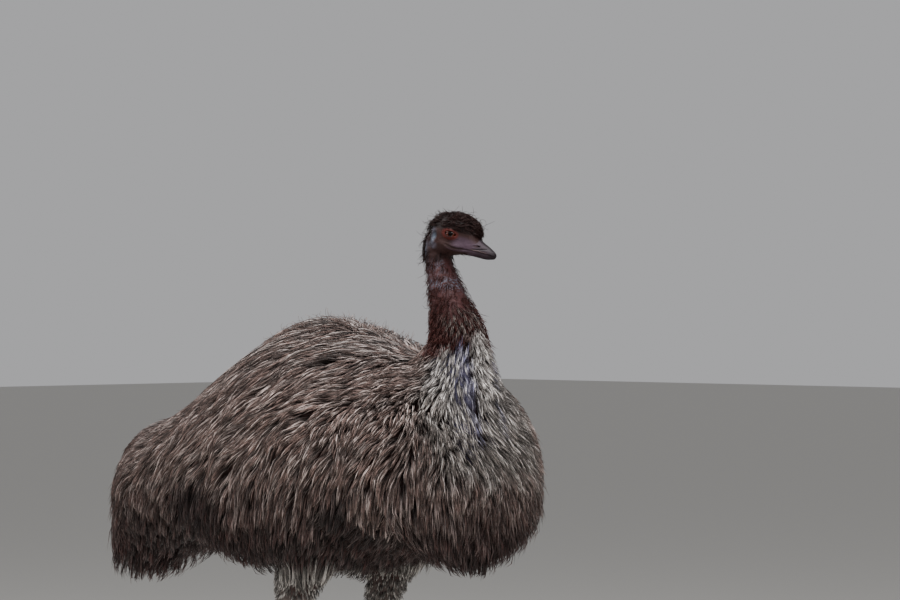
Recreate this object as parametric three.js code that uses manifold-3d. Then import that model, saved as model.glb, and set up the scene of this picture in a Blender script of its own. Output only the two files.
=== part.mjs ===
// An adult emu at life size, standing still with its neck drawn in and its head turned a little to its left.
// Every solid has the outline of the coat, out to the tips of the feathers.
// Millimetres, +X the way the body faces,
// +Y the bird's left, +Z up, with the origin on the floor under the middle of the whole bird.
import * as THREE from "three";
import { mergeVertices } from "three/addons/utils/BufferGeometryUtils.js";
import Module from "manifold-3d";

const wasm = await Module();
wasm.setup();

const GAP = 0.3; // between neighbouring pieces
const REACH = 3000; // half the side of the blocks that part one piece from the next
const LEFT = new THREE.Vector3(0, 1, 0);
const UP = new THREE.Vector3(0, 0, 1);
const SIDES = [["right", -1], ["left", 1]];
const degrees = THREE.MathUtils.degToRad;

// Outlines of the body coat from tail to breast: [along the body, height] and [along the body, half width].
const BACK = [
  [-530, 635], [-514, 734], [-486, 798], [-440, 842], [-347, 857], [-198, 921], [-90, 992], [20, 1050],
  [90, 1056], [180, 1034], [290, 1000], [390, 962], [465, 912], [512, 821], [530, 725],
];
const BELLY = [
  [-530, 602], [-512, 547], [-480, 550], [-420, 575], [-360, 590], [-310, 591], [-260, 597], [-190, 604],
  [-130, 599], [-60, 581], [0, 562], [140, 566], [235, 595], [310, 625], [385, 617], [450, 591], [495, 625],
  [520, 691], [530, 716],
];
const HALF_WIDTH = [
  [-530, 0], [-512, 85], [-460, 126], [-360, 199], [-200, 238], [0, 265], [160, 265], [300, 236],
  [400, 214], [470, 167], [514, 95], [530, 0],
];
// How full a section of the body is above and below its widest level: 2 is an ellipse, less is a ridge.
const FULL_ABOVE = [[-530, 1.95], [300, 1.9], [420, 2.25], [530, 2.35]];
const FULL_BELOW = [[-530, 2.1], [-300, 2], [0, 2.3], [300, 2.2], [420, 1.5], [530, 1.5]];
const WIDEST_AT = 0.42; // share of the height at which the body is widest

// The neck and legs are stations down a limb: [x, y, z, half side, half back or front, half front or back].
const NECK = [
  [352, 0, 835, 118, 105, 122], [372, 0, 885, 112, 98, 116], [392, 0, 930, 100, 88, 104],
  [404, 0, 972, 76, 70, 80], [409, 0, 1004, 58, 58, 60], [403, 0, 1032, 51, 52, 54],
  [390, 0, 1069, 43, 43, 45], [377, -1, 1107, 36, 37, 38],
  [363, -3, 1148, 30, 29, 31], [358, -4, 1180, 28, 28, 29], [360, -5, 1206, 24, 24, 24],
];
const FOOT_APART = 118; // each leg's distance from the middle plane
const DRUMSTICK = [
  [150, -4, 690, 66, 84, 74], [124, -2, 620, 56, 66, 60], [97, 0, 556, 44, 50, 46], [80, 0, 508, 34, 38, 36],
  [66, 0, 462, 27, 29, 30], [60, 0, 432, 27, 30, 30], [59, 0, 420, 27, 31, 30],
];
const SHANK = [
  [60, 0, 432, 25, 27, 28], [58, 0, 412, 26, 27, 31], [56, 0, 388, 22, 22, 26], [53, 0, 350, 17, 18, 20],
  [47, 0, 240, 15, 17, 17], [41, 0, 130, 17, 18, 18], [38, 0, 86, 23, 22, 21], [37, 0, 60, 28, 24, 24],
  [38, 0, 34, 29, 24, 28], [38, 0, 11, 28, 22, 29], [39, 0, -4, 22, 16, 22],
];

// Each toe's turn from straight ahead, the length of its flesh and of its claw, and its half thickness.
const FOOT_X = 46;
const FOOT_HUB = 30; // within this distance of the joint the toes are one with the shank
const HOCK_CUT = { at: [59, 0, 421], faces: new THREE.Vector3(-0.16, 0, 1) };
const TOES = [
  { name: "inner", turn: -29, length: 84, claw: 24, half: 12.5 },
  { name: "middle", turn: 0, length: 128, claw: 28, half: 15 },
  { name: "outer", turn: 29, length: 80, claw: 24, half: 12 },
];
const SOLE_SINK = 1.6; // how much of each pad the floor flattens

// The head lies on its gape line, from the nape to the bill's tip.
const HEAD = { nape: [334, -8, 1213], turn: 11, drop: 15.5, length: 160, billStart: 113 };
// [along, middle height, half side, half up, half down] of the head with its hair.
const SKULL = [
  [4, 5, 7, 10, 10], [8, 4, 15, 20, 20], [14, 3, 22, 32, 30], [21, 1, 27, 41, 38], [30, 0, 31, 48, 42],
  [42, 0, 34, 53, 39], [56, 0, 34.5, 55.5, 31], [72, 0, 34.5, 56.5, 25.5], [86, 0, 32, 54.5, 19.5],
  [98, 0, 27, 51.5, 17.5], [107, 0, 21.5, 48, 16.5], [114, 1, 17, 42.5, 13], [119, 3, 12, 32, 8],
];
// The bill alone, from under the forehead's hair to the tip.
const BILL = [
  [88, 0, 22, 24.5, 16], [102, 0, 20.5, 23, 15.5], [114, 0, 18.5, 20.5, 15], [128, 0, 15.5, 14.5, 14.5],
  [142, 0, 12, 9.5, 14], [152, -1, 8.8, 6.5, 10.4], [158, -2.4, 5.5, 4.6, 7], [160.5, -3, 2.6, 2.4, 3.4],
];
const BILL_INSET = 0.4; // the bill is this much slimmer than the opening of the face round it
const EYE = { along: 69, height: 15.5, side: 19.5, radius: 14 };
const NOSTRIL = { along: 123, height: 4.4, side: 17.4, half: [8, 3.2, 2], tilt: 7 };
const WING = { at: [196, 235, 806], half: [128, 30, 52], fall: 33, inward: 6 };

// Where one piece ends and the next begins, each a point and the way the plane faces.
const HEAD_CUT = { at: [346, -5, 1168], faces: new THREE.Vector3(0.5, 0.1, 1) };
const NECK_CUT = { at: [0, 0, 1092], faces: UP };
const BREAST_CUT = { at: [262, 0, 800], faces: new THREE.Vector3(1, 0, 0.2) };
const TAIL_CUT = { at: [-318, 0, 760], faces: new THREE.Vector3(1, 0, -0.32) };
const BILL_CUT = { along: HEAD.billStart - 9, lean: 24 };
const GAPE = -2.6; // height of the mouth's line over the head's own axis

const paint = (color, roughness) => new THREE.MeshStandardMaterial({ color, roughness, metalness: 0 });
const plumage = paint("#4d4038", 0.85);
const collarDown = paint("#8d8478", 0.85);
const neckHair = paint("#2a2222", 0.8);
const faceSkin = paint("#4b4650", 0.6);
const billHorn = paint("#3c3640", 0.45);
const scaledLeg = paint("#6b675f", 0.65);
const clawHorn = paint("#2b2724", 0.4);
const eyeball = paint("#6a3a1c", 0.1);

// A closed geometry as a solid.
function solid(geometry) {
  const bare = geometry.clone();
  bare.deleteAttribute("normal");
  bare.deleteAttribute("uv");
  const merged = mergeVertices(bare, 1e-3);
  return new wasm.Manifold(
    new wasm.Mesh({
      numProp: 3,
      vertProperties: new Float32Array(merged.attributes.position.array),
      triVerts: new Uint32Array(merged.index.array),
    }),
  );
}

// A named mesh from a solid.
function piece(name, body, material) {
  const { vertProperties, triVerts } = body.getMesh();
  const geometry = new THREE.BufferGeometry();
  geometry.setAttribute("position", new THREE.BufferAttribute(vertProperties, 3));
  geometry.setIndex(new THREE.BufferAttribute(triVerts, 1));
  geometry.computeVertexNormals();
  const mesh = new THREE.Mesh(geometry, material);
  mesh.name = name;
  return mesh;
}

// A closed surface over rings of points that run the same way round, each end closed by a fan from its middle.
function loft(rings) {
  const around = rings[0].length;
  const middle = (ring) => ring.reduce((sum, p) => sum.add(p), new THREE.Vector3()).divideScalar(around);
  const points = [...rings.flat(), middle(rings[0]), middle(rings.at(-1))];
  const [first, last] = [points.length - 2, points.length - 1];
  const faces = [];
  for (let j = 0; j < around; j++) {
    const next = (j + 1) % around;
    for (let i = 0; i + 1 < rings.length; i++) {
      const [a, b] = [i * around, (i + 1) * around];
      faces.push(a + j, a + next, b + next, a + j, b + next, b + j);
    }
    const end = (rings.length - 1) * around;
    faces.push(first, next, j, last, end + j, end + next);
  }
  return new THREE.BufferGeometry().setFromPoints(points).setIndex(faces);
}

// A ring round a point: a half width to each side, one half height up and another down. Power 2 is an ellipse.
function ring(at, side, up, [halfSide, halfUp, halfDown], around, power = 2, powerBelow = power) {
  return Array.from({ length: around }, (_, j) => {
    const angle = (2 * Math.PI * j) / around;
    const bulge = (v) => Math.sign(v) * Math.abs(v) ** (2 / (Math.sin(angle) > 0 ? power : powerBelow));
    const rise = bulge(Math.sin(angle));
    return at
      .clone()
      .addScaledVector(side, halfSide * bulge(Math.cos(angle)))
      .addScaledVector(up, rise * (rise > 0 ? halfUp : halfDown));
  });
}

// A smooth limb through its stations, each [x, y, z, half side, half up, half down], where up is the way that
// the limb's own direction crosses its side.
function limb(stations, steps, around) {
  const path = new THREE.CatmullRomCurve3(stations.map((s) => new THREE.Vector3(...s.slice(0, 3))));
  const sizes = new THREE.CatmullRomCurve3(stations.map((s) => new THREE.Vector3(...s.slice(3))));
  const rings = Array.from({ length: steps + 1 }, (_, i) => {
    const up = path.getTangent(i / steps).cross(LEFT).normalize();
    return ring(path.getPoint(i / steps), LEFT, up, sizes.getPoint(i / steps).toArray(), around);
  });
  return solid(loft(rings));
}

// The height of an outline over a place along the body.
function outline(points) {
  const curve = new THREE.SplineCurve(points.map((p) => new THREE.Vector2(...p)));
  const samples = curve.getPoints(points.length * 24);
  return (x) => {
    const i = Math.max(1, samples.findIndex((p) => p.x >= x));
    const [a, b] = [samples[i - 1], samples[i]];
    return THREE.MathUtils.mapLinear(x, a.x, b.x, a.y, b.y);
  };
}

// The body coat, from rings across it that crowd towards its rounded ends, or a body that is larger all round.
function bodyCoat(steps, around, grow = 0) {
  const [back, belly, width, above, below] = [BACK, BELLY, HALF_WIDTH, FULL_ABOVE, FULL_BELOW].map(outline);
  const [tail, breast] = [BACK[0][0], BACK.at(-1)[0]];
  const rings = [];
  for (let i = 1; i < steps; i++) {
    const x = THREE.MathUtils.lerp(tail, breast, (1 - Math.cos((Math.PI * i) / steps)) / 2);
    const height = THREE.MathUtils.lerp(belly(x), back(x), WIDEST_AT);
    const sizes = [width(x), back(x) - height, height - belly(x)].map((size) => size + grow);
    rings.push(ring(new THREE.Vector3(x, 0, height), LEFT, UP, sizes, around, above(x), below(x)));
  }
  return solid(loft(rings));
}

// The two sides of a body that a plane cuts, with the gap between them: [the side it faces, the other side].
function part(body, { at, faces }) {
  const turn = new THREE.Quaternion().setFromUnitVectors(UP, faces.clone().normalize());
  return [1, -1].map((way) => {
    const block = new THREE.BoxGeometry(2 * REACH, 2 * REACH, 2 * REACH);
    block.translate(0, 0, way * (REACH + GAP / 2));
    block.applyQuaternion(turn).translate(...at);
    return body.intersect(solid(block));
  });
}

// A geometry made on the head's own axes, forward, left and up, put where the head is.
const headPlace = new THREE.Matrix4()
  .makeTranslation(...HEAD.nape)
  .multiply(new THREE.Matrix4().makeRotationZ(degrees(HEAD.turn)))
  .multiply(new THREE.Matrix4().makeRotationY(degrees(HEAD.drop)));
const onHead = (geometry) => solid(geometry.applyMatrix4(headPlace));

// Rings along the head's own axes, from stations [along, middle height, half side, half up, half down].
function headLoft(stations, steps, around, power, inset = 0) {
  const path = new THREE.CatmullRomCurve3(stations.map(([s, h]) => new THREE.Vector3(s, 0, h)));
  const sizes = new THREE.CatmullRomCurve3(stations.map((s) => new THREE.Vector3(...s.slice(2))));
  const rings = Array.from({ length: steps + 1 }, (_, i) => {
    const half = sizes.getPoint(i / steps).toArray().map((size) => size - inset);
    return ring(path.getPoint(i / steps), LEFT, UP, half, around, power);
  });
  return onHead(loft(rings));
}

function ball(radius, at, around = 12) {
  return new THREE.SphereGeometry(radius, around, (2 * around) / 3).translate(...at);
}

// A plane across the head at a place on its axis, leaned up from straight ahead.
function headPlane(along, height, lean) {
  const faces = new THREE.Vector3(Math.cos(degrees(lean)), 0, Math.sin(degrees(lean)));
  return {
    at: new THREE.Vector3(along, 0, height).applyMatrix4(headPlace).toArray(),
    faces: faces.transformDirection(headPlace),
  };
}

// The face with its hair, the two halves of the bill and the eyes.
function headPieces() {
  const behindBill = headPlane(BILL_CUT.along - GAP, 0, BILL_CUT.lean);
  let bill = part(headLoft(BILL, 12, 14, 2.2, BILL_INSET), headPlane(BILL_CUT.along, 0, BILL_CUT.lean))[0];
  let face = headLoft(SKULL, 15, 18, 2);
  face = face.subtract(part(headLoft(BILL, 12, 14, 2.2), behindBill)[0]);
  const eyes = SIDES.map(([, way]) => {
    const at = [EYE.along, way * EYE.side, EYE.height];
    face = face.subtract(onHead(ball(EYE.radius + GAP, at)));
    const nostril = ball(1, [0, 0, 0], 9).scale(...NOSTRIL.half).rotateY(degrees(NOSTRIL.tilt));
    bill = bill.subtract(onHead(nostril.translate(NOSTRIL.along, way * NOSTRIL.side, NOSTRIL.height)));
    return onHead(ball(EYE.radius, at));
  });
  const [upper, lower] = part(bill, headPlane(HEAD.length, GAPE, 90));
  return { face, upper, lower, eyes };
}

// One leg below the body coat: flesh to the hock, the shank with the foot's root, and three clawed toes.
function legPieces(way, trunk) {
  const over = (stations) => stations.map(([x, y, ...rest]) => [x, way * (FOOT_APART + y), ...rest]);
  const joint = [FOOT_X, way * FOOT_APART, 0];
  const hub = (radius) => {
    const post = new THREE.CylinderGeometry(radius, radius, REACH, 16);
    return solid(post.rotateX(Math.PI / 2).translate(...joint));
  };
  const aboveFloor = (body) => part(body, { at: [0, 0, -GAP / 2], faces: UP })[0];
  const drumstick = part(limb(over(DRUMSTICK), 10, 14), HOCK_CUT)[0];
  let shank = part(limb(over(SHANK), 13, 12), HOCK_CUT)[1];
  const pieces = {};
  TOES.forEach(({ name, turn, length, claw, half }, i) => {
    const place = (shape) => solid(shape.rotateZ(degrees(way * turn)).translate(...joint));
    let flesh = place(toeFlesh(length, half));
    shank = shank.add(flesh.intersect(hub(FOOT_HUB)));
    for (const next of [TOES[i - 1], TOES[i + 1]].filter(Boolean)) {
      const middle = (way * (turn + next.turn)) / 2;
      const facing = degrees(middle + 90 * Math.sign(way * (turn - next.turn)));
      flesh = part(flesh, { at: joint, faces: new THREE.Vector3(Math.cos(facing), Math.sin(facing), 0) })[0];
    }
    flesh = flesh.subtract(hub(FOOT_HUB + GAP)).subtract(place(clawShape(length, claw, half, GAP)));
    pieces[`toe_${name}`] = aboveFloor(flesh);
    pieces[`claw_${name}`] = aboveFloor(place(clawShape(length, claw, half, 0)));
  });
  return { drumstick: drumstick.subtract(trunk), shank: aboveFloor(shank), ...pieces };
}

// A toe's flesh along +X from the foot's joint: high at its root, a pad between each two joints, a round tip.
function toeFlesh(length, half) {
  const steps = 9;
  const pads = Math.round(length / 32);
  const rings = Array.from({ length: steps }, (_, i) => {
    const t = Math.sin(((i + 0.5) / steps) * (Math.PI / 2));
    const tip = Math.sqrt(1 - Math.max(0, (t - 0.88) / 0.125) ** 2);
    const size = half * (1 + 0.08 * Math.cos(2 * Math.PI * pads * t)) * (1 - 0.3 * t) * tip;
    const lift = 26 * Math.max(0, 1 - 1.6 * t) ** 2;
    const at = new THREE.Vector3(length * t - 12 * (1 - t), 0, half * (0.9 - 0.25 * t) - SOLE_SINK);
    return ring(at, LEFT, UP, [size, size * 0.95 + lift, size * 0.9], 9, 2.2);
  });
  return loft(rings);
}

// The claw that comes out over a toe's tip and bends down to the ground.
function clawShape(length, claw, half, grow) {
  const root = half * 0.5;
  const height = half * 0.72;
  const buried = 15;
  const steps = 5;
  const rings = Array.from({ length: steps + 1 }, (_, i) => {
    const t = i / steps;
    const size = root * Math.sqrt(1 - t ** 1.5) + 0.6 + grow;
    const at = new THREE.Vector3(length - buried + (claw + buried) * t, 0, height - (height - 1.2) * t * t);
    return ring(at, LEFT, UP, [size * 0.8, size, size], 8);
  });
  return loft(rings);
}

// A wing, a short flap that the long flank feathers hide, let into the side of the body coat.
function wingFlap(way, grow) {
  const flap = new THREE.SphereGeometry(1, 12, 8);
  flap.scale(...WING.half.map((size) => size + grow));
  flap.rotateY(degrees(-WING.fall)).rotateZ(degrees(way * WING.inward));
  const [x, y, z] = WING.at;
  return solid(flap.translate(x, way * y, z));
}

const bird = new THREE.Group();
const body = bodyCoat(28, 26);
const aroundBody = bodyCoat(28, 26, GAP);

const head = headPieces();
const [throat, neckBelowHead] = part(limb(NECK, 16, 20), HEAD_CUT);
const [upperNeck, lowerNeck] = part(neckBelowHead.subtract(aroundBody), NECK_CUT);
bird.add(piece("head", part(head.face.add(throat), HEAD_CUT)[0], faceSkin));
bird.add(piece("bill_upper", head.upper, billHorn));
bird.add(piece("bill_lower", head.lower, billHorn));
bird.add(piece("neck_upper", upperNeck, neckHair));
bird.add(piece("neck_lower", lowerNeck, collarDown));

let trunk = body;
SIDES.forEach(([name, way], i) => {
  bird.add(piece(`eye_${name}`, head.eyes[i], eyeball));
  bird.add(piece(`wing_${name}`, body.intersect(wingFlap(way, 0)), plumage));
  trunk = trunk.subtract(wingFlap(way, GAP));
  for (const [key, shape] of Object.entries(legPieces(way, aroundBody))) {
    const material = key.startsWith("claw") ? clawHorn : key === "drumstick" ? plumage : scaledLeg;
    bird.add(piece(`${key}_${name}`, shape, material));
  }
});
const [breast, behind] = part(trunk, BREAST_CUT);
const [middle, tail] = part(behind, TAIL_CUT);
bird.add(piece("breast", breast, plumage));
bird.add(piece("trunk", middle, plumage));
bird.add(piece("tail", tail, plumage));

export default bird;
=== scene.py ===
"""An adult emu at life size, standing still: skin, bill, eyes, claws, scales and a coat of loose strands."""

import bpy
import numpy as np
from mathutils.bvhtree import BVHTree
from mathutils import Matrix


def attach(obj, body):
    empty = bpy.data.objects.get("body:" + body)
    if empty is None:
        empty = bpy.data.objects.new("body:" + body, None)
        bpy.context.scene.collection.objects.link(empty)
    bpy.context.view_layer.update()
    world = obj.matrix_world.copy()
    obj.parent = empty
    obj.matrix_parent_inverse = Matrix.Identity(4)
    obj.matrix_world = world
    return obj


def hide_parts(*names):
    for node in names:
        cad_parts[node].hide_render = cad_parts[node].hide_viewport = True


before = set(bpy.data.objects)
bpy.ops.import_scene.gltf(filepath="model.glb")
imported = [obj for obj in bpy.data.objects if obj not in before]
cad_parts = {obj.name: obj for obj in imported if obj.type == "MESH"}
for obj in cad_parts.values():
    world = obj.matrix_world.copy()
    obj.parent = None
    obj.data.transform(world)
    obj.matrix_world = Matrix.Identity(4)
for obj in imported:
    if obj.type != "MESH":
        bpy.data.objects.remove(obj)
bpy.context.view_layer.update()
MM = 0.001
LEFT = np.array([0.0, 1.0, 0.0])
UP = np.array([0.0, 0.0, 1.0])
DOWN = np.array([0.0, 0.0, -1.0])
chance = np.random.default_rng(4932)

# The coat's outline from tail to breast, as [along, height] and [along, half width], in millimetres.
BACK = [
    (-530, 635), (-514, 734), (-486, 798), (-440, 842), (-347, 857), (-198, 921), (-90, 992), (20, 1050),
    (90, 1056), (180, 1034), (290, 1000), (390, 962), (465, 912), (512, 821), (530, 725),
]
BELLY = [
    (-530, 602), (-512, 547), (-480, 550), (-420, 575), (-360, 590), (-310, 591), (-260, 597), (-190, 604),
    (-130, 599), (-60, 581), (0, 562), (140, 566), (235, 595), (310, 625), (385, 617), (450, 591), (495, 625),
    (520, 691), (530, 716),
]
HALF_WIDTH = [
    (-530, 0), (-512, 85), (-460, 126), (-360, 199), (-200, 238), (0, 265), (160, 265), (300, 236),
    (400, 214), (470, 167), (514, 95), (530, 0),
]
# How square the body is above and below its widest line, where 2 is an ellipse, and how high that line runs.
FULL_ABOVE = [(-530, 1.95), (300, 1.9), (420, 2.25), (530, 2.35)]
FULL_BELOW = [(-530, 2.1), (-300, 2), (0, 2.3), (300, 2.2), (420, 1.5), (530, 1.5)]
WIDEST_AT = 0.42
REAR, LONG = -530, 1060
# Limbs as [x, y, z, half side, half up, half down], where up crosses the limb's direction and its side.
# A leg's y is counted from its foot.
NECK = [
    (352, 0, 835, 118, 105, 122), (372, 0, 885, 112, 98, 116), (392, 0, 930, 100, 88, 104),
    (404, 0, 972, 76, 70, 80), (409, 0, 1004, 58, 58, 60), (403, 0, 1032, 51, 52, 54),
    (390, 0, 1069, 43, 43, 45), (377, -1, 1107, 36, 37, 38), (363, -3, 1148, 30, 29, 31),
    (358, -4, 1180, 28, 28, 29), (360, -5, 1206, 24, 24, 24),
]
DRUMSTICK = [
    (150, -4, 690, 66, 84, 74), (124, -2, 620, 56, 66, 60), (97, 0, 556, 44, 50, 46),
    (80, 0, 508, 34, 38, 36), (66, 0, 462, 27, 29, 30), (60, 0, 432, 27, 30, 30),
    (59, 0, 420, 27, 31, 30),
]
SHANK = [
    (66, 0, 462, 24, 26, 26), (60, 0, 432, 27, 29, 30), (58, 0, 412, 26, 27, 31), (56, 0, 388, 22, 22, 26),
    (53, 0, 350, 17, 18, 20), (47, 0, 240, 15, 17, 17), (41, 0, 130, 17, 18, 18), (38, 0, 86, 23, 22, 21),
    (37, 0, 60, 28, 24, 24), (38, 0, 34, 29, 24, 28), (38, 0, 11, 28, 22, 29), (39, 0, -4, 22, 16, 22),
]
# How far each foot is to the side and forward, and the toes as [name, turn, length, claw's reach, half width].
FOOT_APART = 118
FOOT_X = 46
TOES = [("inner", -29, 84, 24, 12.5), ("middle", 0, 128, 28, 15), ("outer", 29, 80, 24, 12)]
SIDES = [("right", -1), ("left", 1)]
# Hair, skin and bill along the gape line, as [along, middle height, half side, half up, half down].
HAIR_HEAD = [
    (4, 5, 7, 10, 10), (8, 4, 15, 20, 20), (14, 3, 22, 32, 30), (21, 1, 27, 41, 38), (30, 0, 31, 48, 42),
    (42, 0, 34, 53, 39), (56, 0, 34.5, 55.5, 31), (72, 0, 34.5, 56.5, 25.5), (86, 0, 32, 54.5, 19.5),
    (98, 0, 27, 51.5, 17.5), (107, 0, 21.5, 48, 16.5), (114, 1, 17, 42.5, 13), (119, 3, 12, 32, 8),
]
SKIN_HEAD = [
    (17, 2, 7, 9, 11), (20, 1, 17, 23, 24), (26, 0, 24, 36, 33), (34, 0, 28, 44, 38), (46, 0, 30.5, 49.5, 34),
    (60, 0, 31, 51.5, 28), (74, 0, 30.5, 51.5, 23), (88, 0, 27.5, 48, 18.5), (100, 0, 22.5, 41.5, 16.6),
    (110, 0, 19.5, 30, 15.4), (119, 0, 17, 18.5, 14.4), (126, 0, 14, 14, 13),
]
BILL = [
    (96, 0, 22, 24, 16.5), (104, 0, 21.5, 23.5, 16.2), (114, 0, 19.4, 20.8, 15.4), (128, 0, 16, 14.8, 14.8),
    (142, 0, 12, 9.8, 14), (152, -1, 8.8, 6.6, 10.4), (158, -2.4, 5.5, 4.6, 7), (160.6, -3, 2.2, 2, 3),
]
# Where the gape line starts at the nape, and the head's turn to the left and drop of the bill.
NAPE = np.array([334, -8, 1213]) * MM
TURN, DROP = np.radians(11), np.radians(15.5)
HEAD_AXES = np.array([
    [np.cos(DROP) * np.cos(TURN), -np.sin(TURN), np.sin(DROP) * np.cos(TURN)],
    [np.cos(DROP) * np.sin(TURN), np.cos(TURN), np.sin(DROP) * np.sin(TURN)],
    [-np.sin(DROP), 0, np.cos(DROP)],
])
# The left eye's middle on the head's axes, and its radius.
EYE = np.array([69, 20.5, 15.5])
EYE_RADIUS = 13.0
# The lids' ring is this much lower than it is long.
LID_SHAPE = 0.62
# The line where the bill's halves and then the cheeks meet, as places along it and their heights.
GAPE = -2.6
GAPE_LINE = (
    [60, 68, 80, 89, 100, 110, 130, 148, 161],
    [-4, -5.4, -7.2, -7.0, -5, -3.6, GAPE, GAPE - 0.2, GAPE - 1.8],
)
# The height above which the neck is made finer than the body, and the coat lies as hair.
BARE_NECK = 0.985


def to_head(points):
    """Places on the head's own axes, forward, left and up, in millimetres."""
    return (points - NAPE) @ HEAD_AXES / MM


def from_head(points):
    return points * MM @ HEAD_AXES.T + NAPE


def unit(vectors):
    return vectors / np.maximum(np.linalg.norm(vectors, axis=-1, keepdims=True), 1e-12)


def ease(low, high, x):
    """0 below low, 1 above high, smooth between."""
    t = np.clip((x - low) / (high - low), 0, 1)
    return t * t * (3 - 2 * t)


def hump(x, middle, width):
    """1 in the middle, and fading out to both sides."""
    return np.exp(-(((x - middle) / width) ** 2))


def mound(x, middle, width, y, height, depth):
    """1 at a place on a plane, and fading out around it."""
    return np.exp(-(((x - middle) / width) ** 2) - ((y - height) / depth) ** 2)


def spline(points, t):
    """Places on a smooth line through the points, for t from 0 to 1."""
    p = np.array(points, float)
    p = np.vstack([2 * p[0] - p[1], p, 2 * p[-1] - p[-2]])
    t = np.clip(t, 0, 1) * (len(points) - 1)
    i = np.minimum(t.astype(int), len(points) - 2)
    f = (t - i)[:, None]
    a, b, c, d = p[i], p[i + 1], p[i + 2], p[i + 3]
    return b + 0.5 * f * (c - a + f * (2 * a - 5 * b + 4 * c - d + f * (3 * (b - c) + d - a)))


def outline(points):
    line = spline(points, np.linspace(0, 1, 24 * len(points)))
    return lambda x: np.interp(x, line[:, 0], line[:, 1])


def points_of(obj):
    points = np.empty(len(obj.data.vertices) * 3)
    obj.data.vertices.foreach_get("co", points)
    return points.reshape(-1, 3)


def set_points(obj, points):
    obj.data.vertices.foreach_set("co", np.ascontiguousarray(points, float).ravel())
    obj.data.update()


def pick(*objects):
    bpy.ops.object.select_all(action="DESELECT")
    for obj in objects:
        obj.select_set(True)
    bpy.context.view_layer.objects.active = objects[0]
    return objects[0]


def start(primitive, **settings):
    """A new primitive, and nothing else selected."""
    bpy.ops.object.select_all(action="DESELECT")
    getattr(bpy.ops.mesh, "primitive_" + primitive + "_add")(**settings)
    return bpy.context.object


def smooth(obj):
    pick(obj)
    bpy.ops.object.shade_smooth()
    return obj


def edit(obj, *steps):
    """Runs edit mode operators, each with its settings, on all of a mesh."""
    pick(obj)
    bpy.ops.object.mode_set(mode="EDIT")
    bpy.ops.mesh.select_all(action="SELECT")
    for name, settings in steps:
        getattr(bpy.ops.mesh, name)(**settings)
    bpy.ops.object.mode_set(mode="OBJECT")
    return obj


def modify(obj, kind, **settings):
    """Adds a modifier and applies it."""
    pick(obj)
    modifier = obj.modifiers.new(kind.title(), kind)
    for key, value in settings.items():
        setattr(modifier, key, value)
    bpy.ops.object.modifier_apply(modifier=modifier.name)
    return obj


def tube(name, around, rings, shape):
    """A closed tube drawn out of a disc ring by ring, then set to its form by shape(along, angle)."""
    obj = start("circle", vertices=around, radius=1, fill_type="NGON")
    obj.name = name
    draw = ("extrude_region_move", {"TRANSFORM_OT_translate": {"value": (0, 0, 1)}})
    edit(obj, *[draw] * (rings - 1))
    x, y, z = points_of(obj).T
    set_points(obj, shape(z / (rings - 1), np.arctan2(y, x)))
    return edit(obj, ("normals_make_consistent", {"inside": False}))


def midline(x, z):
    """Places half way between left and right."""
    return np.stack([x, 0 * x, z], 1)


def section(at, up, halves, angle, above=2.0, below=2.0):
    """Points round a limb, by its half widths to each side, up and down. Power 2 is an ellipse."""
    power = np.where(np.sin(angle) > 0, above, below)
    across, rise = (np.sign(v) * np.abs(v) ** (2 / power) for v in (np.cos(angle), np.sin(angle)))
    rise *= np.where(rise > 0, halves[:, 1], halves[:, 2])
    return at + LEFT * (halves[:, 0] * across)[:, None] + up * rise[:, None]


def trunk_form(name, depth):
    """The body's form, at a depth under the coat's tips at its sides, back, underside, rear and front."""
    lines = (BACK, BELLY, HALF_WIDTH, FULL_ABOVE, FULL_BELOW)
    back, belly, width, above, below = (outline(line) for line in lines)

    def shape(along, angle):
        run = (1 - np.cos(np.pi * (0.012 + 0.976 * along))) / 2
        x = REAR + LONG * run
        height = belly(x) + WIDEST_AT * (back(x) - belly(x))
        halves = np.stack([width(x), back(x) - height, height - belly(x)], 1)
        halves -= np.array(depth[:3]) * np.minimum(1, halves / 70)
        x = REAR + depth[3] + (LONG - depth[3] - depth[4]) * run
        return section(midline(x, height), UP, halves, angle, above(x), below(x)) * MM

    return tube(name, 72, 90, shape)


def leg_rows(stations, way):
    return [(x, way * (y + FOOT_APART), z, *halves) for x, y, z, *halves in stations]


def limb(name, stations, depth, around, rings, way=0):
    """A limb through its stations, at a depth under the coat's tips. way puts a leg on its side."""
    rows = leg_rows(stations, way) if way else stations

    def shape(along, angle):
        row = spline(rows, along)
        tangent = unit(spline(rows, along + 0.01)[:, :3] - spline(rows, along - 0.01)[:, :3])
        up = unit(np.cross(tangent, LEFT))
        thick = depth(row[:, 2]) if callable(depth) else depth
        return section(row[:, :3], up, row[:, 3:] - np.reshape(thick, (-1, 1)), angle) * MM

    return tube(name, around, rings, shape)


def head_form(name, stations, power=2.0):
    """The head's skin or the outline of its hair, along the gape line."""

    def shape(along, angle):
        row = spline(stations, along)
        at = midline(row[:, 0], row[:, 1])
        return from_head(section(at, UP, row[:, 2:], angle, power, power))

    return tube(name, 56, 60, shape)


def toe_line(length, half, t):
    """How far along and how high a toe's middle line runs, sunk so that the floor flattens its pads."""
    return length * t - 12 * (1 - t), half * (0.9 - 0.25 * t) - 1.6


def toe_rise(t):
    """How much higher a toe's back stands near its root, where the tendons come down."""
    return 26 * np.maximum(0, 1 - 1.6 * t) ** 2


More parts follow.
